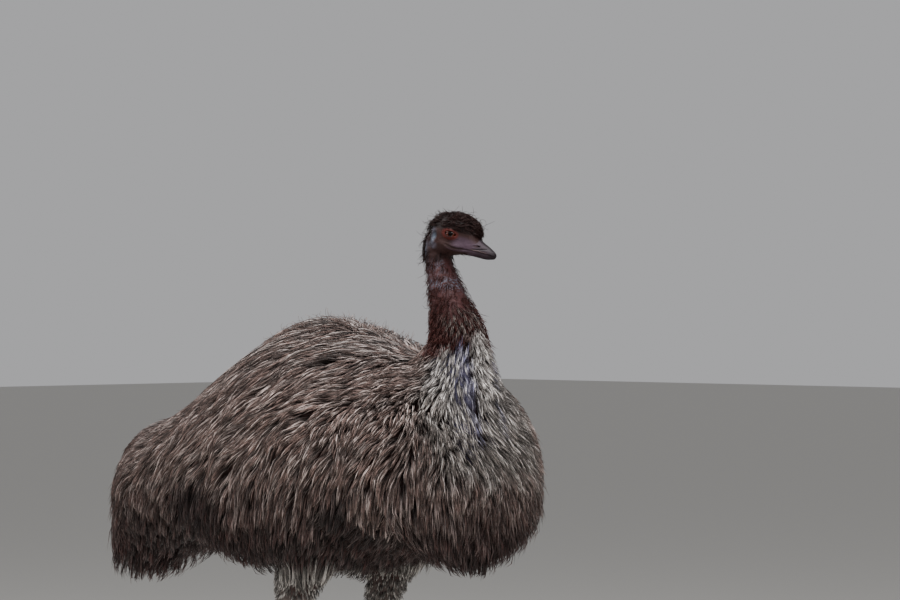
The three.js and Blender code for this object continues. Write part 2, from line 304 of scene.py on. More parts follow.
def toe_form(name, turn, length, half, way):
    """A toe with a pad between each two joints, high at its root, round at its tip and flat below."""
    pads = round(length / 32)

    def shape(along, angle):
        t = np.sin(along * 0.985 * np.pi / 2)
        tip = np.sqrt(np.clip(1 - np.maximum(0, (t - 0.88) / 0.125) ** 2, 0, 1))
        size = half * (1 + 0.08 * np.cos(2 * np.pi * pads * t)) * (1 - 0.3 * t) * tip - 0.6
        at = midline(*toe_line(length, half, t))
        halves = np.stack([size, size * 0.95 + toe_rise(t), size * 0.9], 1)
        return on_foot(section(at, UP, halves, angle, 2.2, 2.2), turn, way)

    return tube(name, 20, 34, shape)


def on_foot(points, turn, way):
    """Places along a toe, in millimetres from the foot's joint, put where the toe is."""
    angle = np.radians(way * turn)
    spin = np.array([[np.cos(angle), -np.sin(angle), 0], [np.sin(angle), np.cos(angle), 0], [0, 0, 1]])
    return (points @ spin.T + [FOOT_X, way * FOOT_APART, 0]) * MM


def merge(name, parts, voxel, smooth):
    """One closed skin, with faces of about one voxel, out of forms that reach into each other."""
    obj = pick(*parts)
    bpy.ops.object.join()
    obj.name = name
    modify(obj, "REMESH", mode="VOXEL", voxel_size=voxel * MM, use_smooth_shade=True)
    return modify(obj, "SMOOTH", factor=0.5, iterations=smooth)


def surface_of(obj):
    """A mesh to measure against: what finds its nearest place, and its corner places and triangles."""
    obj.data.calc_loop_triangles()
    points = points_of(obj)
    corners = np.empty(len(obj.data.loop_triangles) * 3, int)
    obj.data.loop_triangles.foreach_get("vertices", corners)
    corners = corners.reshape(-1, 3)
    return BVHTree.FromPolygons(points.tolist(), corners.tolist()), points[corners]


def nearest(surface, points):
    """The nearest place on a surface to each point, and which way the surface faces there."""
    found = [surface[0].find_nearest(p) for p in points.tolist()]
    return np.array([f[0] for f in found]), np.array([f[1] for f in found])


def scatter(surface, density):
    """Random places on a surface, so many to a square metre, and which way the surface faces there."""
    a, b, c = surface[1].transpose(1, 0, 2)
    cross = np.cross(b - a, c - a)
    area = np.linalg.norm(cross, axis=1) / 2
    facing = unit(cross)
    count = chance.poisson(density((a + b + c) / 3, facing) * area)
    i = np.repeat(np.arange(len(area)), count)
    u, v = chance.random((2, len(i), 1))
    flip = u + v > 1
    u, v = np.where(flip, 1 - u, u), np.where(flip, 1 - v, v)
    return a[i] + u * (b[i] - a[i]) + v * (c[i] - a[i]), facing[i]


def linear(*hexes):
    """sRGB hex colours as linear light."""
    srgb = np.array([[int(h[i : i + 2], 16) / 255 for i in (1, 3, 5)] for h in hexes])
    return np.where(srgb < 0.04045, srgb / 12.92, ((srgb + 0.055) / 1.055) ** 2.4)


def waves(points, size, seed):
    """A smooth value from about -1 to 1 that changes over so many metres."""
    phase = np.random.default_rng(seed)
    k = unit(phase.normal(size=(6, 3))) * (2 * np.pi / size) * phase.uniform(0.6, 1.6, (6, 1))
    return np.sin(points @ k.T + phase.uniform(0, 7, 6)).sum(1) / 2.6


# Skin
def neck_depth(z):
    """How deep the skin lies under the tips of the neck's hair, by height, in millimetres."""
    return np.interp(z, [972, 1004, 1032, 1069, 1107, 1148, 1206], [24, 17, 12, 8, 6, 5, 4])


def leg_forms(way, thigh_depth, thigh_only=False):
    forms = [limb("Thigh", DRUMSTICK, thigh_depth, 32, 30, way)]
    if not thigh_only:
        forms.append(limb("Shank", SHANK, 0.8, 32, 60, way))
        forms += [toe_form("Toe", turn, length, half, way) for _, turn, length, _, half in TOES]
    return forms


def eye_frame(way):
    """The eye's middle and its forward, up and outward directions, on the head's axes."""
    out = unit(np.array([0.16, way, 0.1]))
    ahead = unit(np.array([1, 0, 0]) - out * out[0])
    return EYE * [1, way, 1], np.stack([ahead, unit(np.cross(ahead, out)) * -way, out])


def sculpt_head(points):
    """Orbits, lores, gape, ear holes and the folds of the throat and neck, pushed into the skin."""
    head = to_head(points)
    near = ease(-30, 0, head[:, 0]) * ease(-75, -55, head[:, 2])
    side = np.sign(head[:, 1])
    along, out, up = head[:, 0].copy(), np.abs(head[:, 1]), head[:, 2].copy()
    push = np.zeros(len(points))
    # The lore is hollow between eye and bill, and the cheek is full below the eye.
    push -= 2.2 * mound(along, 95, 9, up, 10, 8)
    push += 1.6 * mound(along, 62, 18, up, -8, 7)
    # A brow stands over the eye.
    push += 1.8 * mound(along, 72, 20, up - 34, 0.06 * (along - 72), 7)
    # The gape's line runs back under the eye, with a fold of soft skin along it.
    line = np.interp(along, *GAPE_LINE)
    run = ease(60, 68, along)
    push -= 2.6 * run * hump(up, line, 1.3)
    push += 1.1 * run * hump(up - line, -4.2, 2.2)
    # The ear's opening, and folds behind the cheek.
    ear = ((along - 36) / 5.5) ** 2 + ((up - 4) / 7.5) ** 2
    push -= 4.5 * np.exp(-(ear**1.5))
    push += 1.2 * np.exp(-((np.sqrt(ear) - 1.5) ** 2) / 0.12)
    fold = np.sin((along * 0.5 - up * 0.85) / 2.3 + 1.5 * waves(points, 0.03, 5))
    push += 0.5 * fold * ease(-6, -24, up) * ease(95, 60, along)
    face = ease(4, 12, out) * near
    out += push * face
    head = np.stack([along, side * out, up], 1)
    for way in (-1, 1):
        middle, axes = eye_frame(way)
        eye = (head - middle) @ axes.T
        reach = np.hypot(eye[:, 0] * LID_SHAPE, eye[:, 1])
        mine = (side == way) & (eye[:, 2] > -10)
        rise = np.interp(reach, [0, 6, 7.5, 9.5, 13, 17, 24], [0, 1, 5, 7.0, 6.8, 5.4, 3.2])
        grip = ease(23, 12.5, reach) * mine
        eye[:, 2] += (rise - eye[:, 2]) * grip
        head = np.where(mine[:, None], middle + eye @ axes, head)
    moved = points + (from_head(head) - points) * near[:, None]
    # Loose folds ring the neck and run down the two bare strips.
    axis = np.array([0.375, -0.003])
    outward = unit(moved[:, :2] - axis)
    ring = np.sin(moved[:, 2] / 0.0026 + 2.2 * waves(points, 0.05, 8)) * ease(1.2, 1.17, moved[:, 2])
    depth = 0.0007 * ring * ease(1.0, 1.06, moved[:, 2]) * (1 - 0.8 * near)
    moved[:, :2] += outward * depth[:, None]
    return moved


def lid(way):
    """The ring of an eye's two lids: thin at the opening, full at the fold, and creased round."""
    obj = start("torus", major_segments=72, minor_segments=20, major_radius=1, minor_radius=0.3)
    x, y, z = points_of(obj).T
    around = np.arctan2(y, x)
    ring = np.arctan2(z, np.hypot(x, y) - 1)
    high = np.sin(around)
    opening = 7.0 - 2.3 * np.maximum(0, high) - 1.5 * np.maximum(0, -high)
    outer = 11.9 + 0.5 * np.maximum(0, high)
    reach = (opening + outer) / 2 + (outer - opening) / 2 * np.cos(ring)
    x, y = reach * np.cos(around) / LID_SHAPE, reach * np.sin(around)
    globe = np.sqrt(np.maximum(0, (EYE_RADIUS + 0.25) ** 2 - x * x - y * y))
    bed = np.maximum(globe, np.interp(reach, [5, 8, 11.5, 13], [7.4, 7.7, 6.9, 6.2]))
    crease = 0.28 * np.cos(reach * 3.4) * ease(5.6, 7, reach)
    pleat = 0.1 * np.sin(around * 26 + 3 * np.sin(around * 3)) * ease(8, 10, reach)
    height = bed + (0.9 + 0.4 * np.maximum(0, high)) * np.sin(ring) + (crease + pleat) * (np.sin(ring) > 0)
    place, axes = eye_frame(way)
    set_points(obj, from_head(place + np.stack([x, y, height], 1) @ axes))
    return edit(obj, ("normals_make_consistent", {"inside": False}))


def join_solid(whole, part):
    modify(whole, "BOOLEAN", operation="UNION", object=part, solver="EXACT")
    bpy.data.objects.remove(part)


def cut_below(obj, height):
    """Drops the thick lower end of the neck, which is already part of the body."""
    plane = {"plane_co": (0.4, 0, height), "plane_no": (0, 0, 1), "clear_inner": True, "use_fill": True}
    edit(obj, ("bisect", plane))


def make_skin():
    """The whole animal's skin with its folds and lids, inside the coat's outline by the coat's depth."""
    trunk = trunk_form("Body", (22, 26, 30, 38, 33))
    body = merge("Skin", [trunk, limb("Neck", NECK, neck_depth, 48, 40)], 9, 4)
    skull = head_form("Skull", SKIN_HEAD, 2.25)
    head = merge("Head", [skull, limb("Neck", NECK, neck_depth, 56, 90)], 1.7, 4)
    set_points(head, sculpt_head(points_of(head)))
    cut_below(head, BARE_NECK)
    for _, way in SIDES:
        leg = merge("Leg", leg_forms(way, 6), 2.8, 3)
        points = points_of(leg)
        points[:, 2] = np.maximum(points[:, 2], 0)
        set_points(leg, points)
        join_solid(body, leg)
    join_solid(body, head)
    pick(body, lid(-1), lid(1))
    bpy.ops.object.join()
    return smooth(body)


def make_guide():
    """The coat's outline as one smooth surface, which the strands are laid to."""
    parts = [trunk_form("Outline", (0, 0, 6, 0, 0)), limb("Neck", NECK, 0, 48, 60)]
    for _, way in SIDES:
        parts += leg_forms(way, 0, True)
    body = merge("Guide", parts, 5, 6)
    head = merge("Hair", [head_form("Cap", HAIR_HEAD), limb("Neck", NECK, 0, 48, 90)], 2.2, 3)
    cut_below(head, 0.99)
    join_solid(body, head)
    return body


def sink_skin(skin_obj, guide_obj):
    """Where the skin comes too near the coat's outline, as in the fold round the neck, it is pressed in."""
    points = points_of(skin_obj)
    where = (points[:, 2] > 0.64) & (points[:, 2] < 1.08)
    on, facing = nearest(surface_of(guide_obj), points[where])
    need = np.interp(points[where, 2], [0.64, 0.7, 0.95, 1.06], [0.004, 0.013, 0.012, 0.006])
    short = np.clip(need + ((points[where] - on) * facing).sum(1), 0, 0.02)
    points[where] -= facing * short[:, None]
    set_points(skin_obj, points)


# Colours
def blend(colour, other, amount):
    return colour + (other - colour) * np.clip(amount, 0, 1)[:, None]


def blob(points, middle, sizes):
    """1 in the middle of an ellipsoid and 0 outside it."""
    away = np.linalg.norm((points - middle) / sizes, axis=1)
    outer = 1.15
    return ease(outer, outer - 0.6, away)


def paint(mesh, colours):
    """Keeps a colour at every point of a mesh, which its material reads as Tint."""
    tint = np.ones((*colours.shape[:-1], 4))
    tint[..., :3] = colours
    mesh.attributes.new("Tint", "FLOAT_COLOR", "POINT").data.foreach_set("color", tint.ravel())


def eye_distance(head):
    """How far places on the head are from the eye's middle, counted over the lids' shape."""
    return np.hypot((head[:, 0] - EYE[0]) * LID_SHAPE, head[:, 2] - EYE[2])


def strip_distance(points):
    """How far, in metres, a place is from the nearer of the two bare strips down the front of the neck."""
    x, y, z = points.T
    middle = np.interp(z, [0.80, 0.85, 0.9, 0.94, 1.0], [0.034, 0.037, 0.037, 0.041, 0.040])
    behind, beyond = np.minimum(0, x - 0.42), np.maximum(0, np.abs(z - 0.9) - 0.08)
    away = np.hypot(np.abs(y) - middle, 0.5 * behind) + 0.5 * beyond
    # The left one is half hidden by the feathers beside it.
    return away + 0.009 * (y > 0)


BROWN, DARK, GREY, COLLAR = linear("#8a726a", "#462a27", "#99918b", "#c3bcb8")
HAIR, LID = linear("#48231f", "#49150f")
BARE, STRIP, MAUVE, CROWN, SPECKLE = linear("#5d6674", "#8380a0", "#463540", "#2b1613", "#432322")
ASH, HORN, RIDGE, TOMIUM = linear("#4c4650", "#2e2229", "#171013", "#75615f")
LEG, LEG_DARK = linear("#98918b", "#524a47")
# The flanks' paler patches, and darker ones low on the flanks that are painted shade in their hollows, as
# ellipsoids on both sides: [colour, share, middle, sizes].
FLANK_TONES_AND_SHADE = [
    (BROWN * 1.25, 0.6, [0.17, 0.25, 0.85], [0.16, 0.12, 0.09]),
    (BROWN * 1.2, 0.6, [-0.04, 0.25, 0.79], [0.06, 0.1, 0.05]),
    # These two dark patches low on the flanks are painted shade in the hollows, not markings.
    (DARK * 0.6, 0.95, [-0.07, 0.23, 0.665], [0.11, 0.09, 0.06]),
    (DARK * 0.55, 0.95, [0.295, 0.18, 0.66], [0.06, 0.09, 0.06]),
    (BROWN * 1.15, 0.6, [0.37, 0.17, 0.69], [0.05, 0.08, 0.07]),
]


def skin_colour(p):
    """The skin's markings: dark on the body, blue-grey on the neck and face, grey-brown on the legs."""
    z = p[:, 2]
    head = to_head(p)
    colour = blend(DARK * 0.55, SPECKLE, ease(1.0, 1.06, z))
    # Pale specks gather in a ring low on the bare neck and in a patch behind it, higher up.
    ring = hump(z, 1.118, 0.012)
    patch = hump(z, 1.155, 0.016) * ease(0.01, 0.018, np.abs(p[:, 1]))
    speck = ease(0.05, 0.6, waves(p, 0.0042, 11)) * (0.05 + 0.65 * ring + 0.45 * patch)
    colour = blend(colour, BARE * 1.5, speck * ease(1.06, 1.075, z))
    colour = blend(colour, STRIP, ease(0.028, 0.014, strip_distance(p)) * (0.75 + 0.3 * waves(p, 0.006, 19)))
    out = np.abs(head[:, 1])
    flat = head * [1, 0, 1]
    face = ease(12, 20, head[:, 0]) * ease(1.15, 1.17, z)
    colour = blend(colour, CROWN, face * 0.9)
    side = ease(8, 14, out) * ease(1.15, 1.17, z)
    ash = np.maximum(blob(flat, [25, 0, 19], [9, 1, 11]), blob(flat, [35, 0, -13], [14, 1, 8]))
    colour = blend(colour, ASH, ash * side * (0.75 + 0.3 * waves(p, 0.01, 17)))
    cheek = (flat - [33.5, 0, 3]) / [5, 1, 11]
    nape = (flat - [15, 0, -33]) / [8, 1, 20]
    blue = np.maximum(np.exp(-(cheek**2).sum(1)), 0.85 * np.exp(-(nape**2).sum(1)))
    colour = blend(colour, BARE, blue * side * (0.85 + 0.15 * waves(p, 0.01, 18)))
    colour = blend(colour, MAUVE, blob(flat, [99, 0, 3], [27, 1, 15]) * ease(3, 9, out))
    low = np.interp(head[:, 0], [36, 50, 62], [17, 19, 23])
    cap = ease(low - 3, low + 6, head[:, 2]) * ease(112, 106, head[:, 0])
    colour = blend(colour, CROWN * 0.3, cap * face)
    eye = eye_distance(head)
    colour = blend(colour, LID, ease(12.4, 8.6, eye) * face * ease(10, 16, out))
    colour = blend(colour, LID * 0.35, ease(6.6, 5.6, eye) * face * ease(10, 16, out))
    over = head[:, 2] - np.interp(head[:, 0], *GAPE_LINE)
    gape = ease(2.0, 0.7, np.abs(over)) * ease(60, 68, head[:, 0]) * face
    colour = blend(colour, DARK * 0.35, gape)
    fold = ease(1.6, 0.6, np.abs(over + 4.4)) * ease(64, 76, head[:, 0]) * face * 0.7
    colour = blend(colour, MAUVE * 1.15, fold)
    leg = ease(0.56, 0.46, z)
    legs = blend(LEG, LEG_DARK, 0.35 + 0.5 * waves(p, 0.035, 3))
    return colour + (legs - colour) * leg[:, None]


def coat_colour(p):
    """The coat's markings, from pale collar and grey chest to hairy neck and crown, with painted shade
    darkening the lower body and underside.
    """
    x, y, z = p.T
    side = p * [1, 0, 1] + np.abs(y)[:, None] * LEFT
    # Darker low on the body and brown higher up: painted shade on the lower flanks.
    base = blend(DARK, BROWN, ease(0.56, 0.77, z) * 0.95)
    base = blend(base, BROWN * 0.86, ease(0.90, 1.0, z))
    base = blend(base, DARK * 1.5, ease(-0.3, -0.47, x) * 0.4)
    # The pale patches are markings; the dark ones are painted shade in the flanks' hollows.
    for tone, share, middle, sizes in FLANK_TONES_AND_SHADE:
        base = blend(base, tone, blob(side, middle, sizes) * share)
    chest = ease(0.165, 0.12, np.abs(y) + 0.012 * waves(p, 0.03, 6)) * ease(0.40, 0.44, x)
    base = blend(base, GREY, chest * ease(0.70, 0.77, z + 0.02 * waves(p, 0.04, 7)) * 0.8)
    # The underside is darkened further: painted shade under the body.
    under = ease(0.67, 0.60, z + 0.02 * waves(p, 0.06, 4)) * ease(-0.42, -0.3, x)
    base = blend(base, DARK * 0.85, under * 0.6)
    rim = ease(0.80, 0.94, z) * ease(0.385, 0.415, x)
    rim = rim * ease(0.125, 0.09, np.abs(y) + 0.01 * waves(p, 0.02, 15))
    # On the bird's left the brown shows through the collar.
    worn = ease(-0.5, 0.3, waves(p, 0.012, 22)) * ease(0.0, 0.025, y)
    base = blend(base, COLLAR, rim * (0.95 - 0.6 * worn))
    front = ease(0.40, 0.44, x)
    edge = 0.012 * front * ease(0.06, 0.045, np.abs(y)) - 0.008 * waves(p, 0.03, 9)
    dark_neck = ease(0.965, 0.985, z - edge) * ease(0.3, 0.34, x - 0.045 * ease(1.01, 0.99, z))
    dark_neck *= 1 - 0.9 * ease(1.03, 1.012, z) * ease(0.459, 0.467, x) * ease(0.032, 0.02, np.abs(y))
    base = blend(base, HAIR, dark_neck)
    speckle = blob(p, [0.44, -0.015, 1.035], [0.05, 0.05, 0.035])
    base = blend(base, GREY, speckle * ease(-0.2, 0.5, waves(p, 0.012, 21)) * 0.6)
    base = blend(base, STRIP, ease(0.016, 0.008, strip_distance(p)) * (0.75 + 0.25 * waves(p, 0.012, 12)))
    base = blend(base, CROWN, ease(1.12, 1.16, z))
    return blend(base, LEG, ease(0.575, 0.555, z) * near_leg(p))


# Coat
# How many stations a strand and a wisp have along them.
STRAND, WISP = 4, 9


def template(stations):
    """One strand, modelled once: a closed three-sided vane, as its points' stations and angles, and faces."""
    rings = stations - 1
    obj = start("uv_sphere", segments=3, ring_count=rings, radius=1)
    x, y, z = points_of(obj).T
    station = np.rint(np.arccos(np.clip(z, -1, 1)) / np.pi * rings).astype(int)
    angle = np.arctan2(y, x)
    faces = [tuple(face.vertices) for face in obj.data.polygons]
    bpy.data.objects.remove(obj)
    return station, angle, faces


# The coat's pieces from the tail to the breast, and how far forward the tips of each reach.
COAT_AREAS = [
    ("tail", -0.37), ("rump", -0.17), ("loin", 0.0),
    ("saddle", 0.16), ("shoulders", 0.315), ("breast", np.inf),
]
VANES = {stations: template(stations) for stations in (STRAND, WISP)}


def copies(name, points, faces, colours, roots, patch):
    """One piece out of many copies of a template, with its colours and its map, OFBake.
    On the map each copy is the template's small patch, put at its root's place."""
    count, size = points.shape[:2]
    corners = np.concatenate([np.array(face) for face in faces])
    sides = np.array([len(face) for face in faces])
    first = np.concatenate([[0], np.cumsum(sides)[:-1]])
    turn = np.arange(count)[:, None]
    mesh = bpy.data.meshes.new(name)
    mesh.vertices.add(count * size)
    mesh.loops.add(count * len(corners))
    mesh.polygons.add(count * len(faces))
    mesh.vertices.foreach_set("co", points.ravel())
    mesh.loops.foreach_set("vertex_index", (corners + size * turn).ravel())
    mesh.polygons.foreach_set("loop_start", (first + len(corners) * turn).ravel())
    mesh.update(calc_edges=True)
    paint(mesh, colours)
    # The patches keep clear of the map's edges.
    uv = (0.004 + 0.989 * roots)[:, None] + 0.003 * patch[corners]
    mesh.uv_layers.new(name="OFBake").data.foreach_set("uv", uv.ravel())
    mesh.polygons.foreach_set("use_smooth", np.ones(count * len(faces), bool))
    obj = bpy.data.objects.new(name, mesh)
    bpy.context.collection.objects.link(obj)
    return obj


def strands(name, flat, place, side, up, half, tint, root):
    """One piece of coat: a copy of the vane drawn along every line, and flat times as thick as wide."""
    stations = place.shape[1]
    station, angle, faces = VANES[stations]
    across, rise = np.cos(angle)[None, :, None], np.sin(angle)[None, :, None]
    points = place[:, station] + side[:, station] * across * half[:, station, None]
    points += up[:, station] * rise * (half * flat)[:, station, None]
    patch = np.stack([(angle / np.pi + 1) / 2, station / (stations - 1)], 1)
    patch[station == 0, 0] = patch[station == stations - 1, 0] = 0.5
    return copies(name, points, faces, tint[:, station], unwrap(root), patch)


def lie(points, facing):
    """Which way the coat lies: away from the neck and down, parted along the back, back over the head."""
    x, y, z = points.T
    away = np.stack([x - 0.395, y, 0 * z], 1)
    down = np.interp(z, [0.6, 0.8, 1.0, 1.06], [2.4, 1.25, 0.5, 2.0]) + 1.2 * ease(-0.33, -0.48, x)
    down += 0.8 * ease(0.40, 0.46, x) * ease(1.0, 0.95, z)
    way = unit(away) * (1 - 0.6 * ease(-0.33, -0.48, x))[:, None] + down[:, None] * DOWN
    way[:, 1] += 0.35 * np.sign(y) * ease(0, 0.03, np.abs(y)) * ease(0.8, 0.95, z)
    # Down the chest it closes towards a crease under each bare strip.
    crease = np.where(np.abs(y) > 0.05, -0.12, 0.15) * np.sign(y) * ease(0.42, 0.48, x) * ease(0.95, 0.88, z)
    way[:, 1] += crease * ease(0.19, 0.06, np.abs(y)) * ease(0, 0.02, np.abs(np.abs(y) - 0.05))
    thigh = ease(0.62, 0.57, z)[:, None]
    way = way * (1 - thigh) + thigh * np.array([-0.3, 0, -1])
    head = to_head(points)
    # The forehead's hair stands forward over the bill, and the crown's lies back.
    parting = head[:, 0] + 6 * waves(points, 0.013, 33) + 7 * waves(points, 0.004, 34)
    fore = (ease(40, 50, parting) * ease(10, 18, head[:, 2]))[:, None]
    back = HEAD_AXES @ np.array([-1, 0, -0.25]) * (1 - fore) + HEAD_AXES @ np.array([1, 0, -0.05]) * fore
    on_head = (ease(1.165, 1.19, z) * ease(0, 14, head[:, 0]))[:, None]
    way = way * (1 - on_head) + on_head * back
    turn = 0.28 * waves(points, 0.16, 31) + 0.24 * waves(points, 0.045, 32)
    way = way + np.cross(facing, way) * turn[:, None]
    flat = way - facing * (way * facing).sum(1, keepdims=True)
    return unit(flat)


def grow(points, facing, lengths, guide, steps, hang):
    """Where each tuft's line runs over the coat's outline from its root, and which way is out along it.
    Past the edge where the body turns under, a line leaves the outline and hangs, by up to its own hang."""
    line, out = [points], [facing]
    for _ in range(steps):
        step = lengths / steps
        on, facing = nearest(guide, points + lie(points, facing) * step[:, None])
        loose = ease(0.0, -0.5, facing[:, 2])
        off = points + DOWN * step[:, None] - on
        off *= np.minimum(1, hang / np.maximum(np.linalg.norm(off, axis=1), 1e-9))[:, None]
        points = on + off * loose[:, None]
        line.append(points)
        out.append(facing)
    return np.stack(line, 1), np.stack(out, 1)


def along(line, t):
    """Places on each line at its own stations t, from 0 to 1."""
    steps = line.shape[1] - 1
    at = np.clip(t, 0, 1) * steps
    i = np.minimum(at.astype(int), steps - 1)
    f = (at - i)[..., None]
    row = np.arange(len(line))[:, None]
    return line[row, i] * (1 - f) + line[row, i + 1] * f


def tufts(points, facing, guide, skin, length, blades, width, fan, lift, tips, sink):
    """Every strand of the tufts rooted under these places: their lines, frames and half widths.
    The strands run up to sink under the outline, apart from those that lift."""
    count = len(points)
    lengths = length * chance.uniform(0.8, 1.2, count)
    line, out = grow(points, facing, lengths, guide, 5, tips * chance.random(count) ** 1.9)
    root, _ = nearest(skin, points)
    root -= facing * 0.0015
    own = np.repeat(np.arange(count), blades)
    n = len(own)
    share = chance.uniform(0.68, 1.0, (n, 1))
    t = np.linspace(0, 1, STRAND)[None] ** 0.9 * share
    place, normal = along(line[own], t), unit(along(out[own], t))
    ahead = unit(np.gradient(place, axis=1))
    side = unit(np.cross(normal, ahead))
    # A few strands come out early and lie over the rest, so that they show all their length.
    over = chance.random((n, 1)) < 0.1
    rest = ((1 - t) ** np.where(over, 5, 2.3))[..., None]
    place = place + (root - points)[own][:, None] * rest
    apart = chance.uniform(-1, 1, (n, 1))
    bend = chance.normal(0, 0.6, (n, 1))
    spread = 0.06 * lengths[own, None]
    sideways = apart * spread * (1 - 0.72 * t) + 0.5 * bend * fan[own, None] * t**2
    place += side * sideways[..., None]
    rise = chance.normal(0, 1, (n, 1))
    rough = np.clip(lift / 0.003, 0.2, 1)[own, None]
    high = (-sink + 0.0022 * rise * rough) * ease(0, 0.5, t) + lift[own, None] * (0.6 + 0.5 * rise) * t**2.2
    high = np.where(over, (0.0005 + 0.0008 * np.abs(rise) * rough) * ease(0, 0.3, t), high)
    place += normal * high[..., None]
    ahead = unit(np.gradient(place, axis=1))
    roll = chance.normal(0, 0.45, (n, 1, 1))
    side = unit(np.cross(normal, ahead))
    up = np.cross(ahead, side)
    side, up = side * np.cos(roll) + up * np.sin(roll), up * np.cos(roll) - side * np.sin(roll)
    form = np.interp(np.linspace(0, 1, STRAND), [0, 0.25, 0.55, 0.8, 1], [0.0, 0.75, 1.0, 0.85, 0.0])
    half = width[own, None] / 2 * form * chance.uniform(0.75, 1.25, (n, 1))
    return own, place, side, up, half, root[own]


def unwrap(p):
    """A place on the body's or neck's skin, laid flat: round the long axis, and along it."""
    body = p[:, 2] < 0.99
    turn = np.where(body, np.arctan2(p[:, 1], p[:, 2] - 0.8), np.arctan2(p[:, 1], p[:, 0] - 0.38))
    run = np.where(body, p[:, 0], p[:, 2])
    uv = np.stack([turn, run], 1)
    low, high = uv.min(0), uv.max(0)
    return (uv - low) / np.maximum(high - low, 1e-6)


def tones(own, place, patchy):
    """Each strand's colour along it: darker at the root as painted shade under the strands over it, streaked
    pale or dark, some with dark tips.
    """
    n, stations = place.shape[:2]
    base = coat_colour(place[:, -1])
    # A tuft has one tone, apart from a few of its strands.
    levels, shares = [0.36, 0.85, 2.15], [0.40, 0.32, 0.28]
    kind = chance.choice(levels, own.max() + 1, p=shares)[own]
    kind = np.where(chance.random(n) < 0.35, chance.choice(levels, n, p=shares), kind)
    clump = chance.uniform(0.75, 1.25, own.max() + 1)[own] * (1 + 0.2 * waves(place[:, -1], 0.06, 77))
    level = 1 + (kind * chance.uniform(0.85, 1.15, n) * clump - 1) * patchy
    # Worn pale strands lose the brown as well.
    grey = base.mean(1, keepdims=True) * [1.04, 1.0, 0.96]
    base = blend(base, grey, 0.55 * (kind > 1) * patchy)
    t = np.linspace(0, 1, stations)
    # Dark at the root, as painted shade deep in the coat, and pale towards the tip as a marking.
    root_shade_and_pale_tip = np.interp(t, [0, 0.34, 0.67, 1], [0.3, 0.45, 0.95, 1.25])
    tip = np.where(chance.random((n, 1)) < 0.3, 1 - 0.45 * ease(0.75, 1, t)[None], 1.0)
    return base[:, None] * (level[:, None] * root_shade_and_pale_tip[None] * tip)[..., None]


def near_leg(p):
    """1 on the thighs and 0 elsewhere on the body."""
    beside = np.hypot((p[:, 0] - 0.1) / 0.12, (np.abs(p[:, 1]) - FOOT_APART * MM) / 0.1)
    return ease(1.2, 0.9, beside) * ease(0.62, 0.58, p[:, 2])


def on_neck(p):
    """1 where the neck's hair takes over from the body's feathers."""
    x, _, z = p.T
    return ease(BARE_NECK, 1.0, z - 0.02 * ease(0.4, 0.44, x)) * ease(0.30, 0.33, x)


def thin_places(guide, density, place):
    """Where more tufts must root, so that they cover the gaps between the strands at hand."""
    p, facing = scatter(guide, density)
    crossed = np.concatenate([place[:, 1:], (place[:, 1:] + place[:, :-1]) / 2]).reshape(-1, 3)
    seen = np.zeros(len(p))
    for shift in (0.0, 0.5):
        # Two places have one number when they lie in the same 12 mm cube.
        known, cell = (np.floor(q / 0.012 + shift).astype(int) @ [1, 1000, 1000000] for q in (crossed, p))
        kinds, counts = np.unique(known, return_counts=True)
        at = np.minimum(np.searchsorted(kinds, cell), len(kinds) - 1)
        seen += counts[at] * (kinds[at] == cell)
    bare = seen < np.where(p[:, 0] > 0.3, 0.5, 0.3) * np.median(seen)
    p, facing = p[bare], facing[bare]
    back = p - lie(p, facing) * chance.uniform(0.008, 0.035, (len(p), 1))
    return nearest(guide, back)


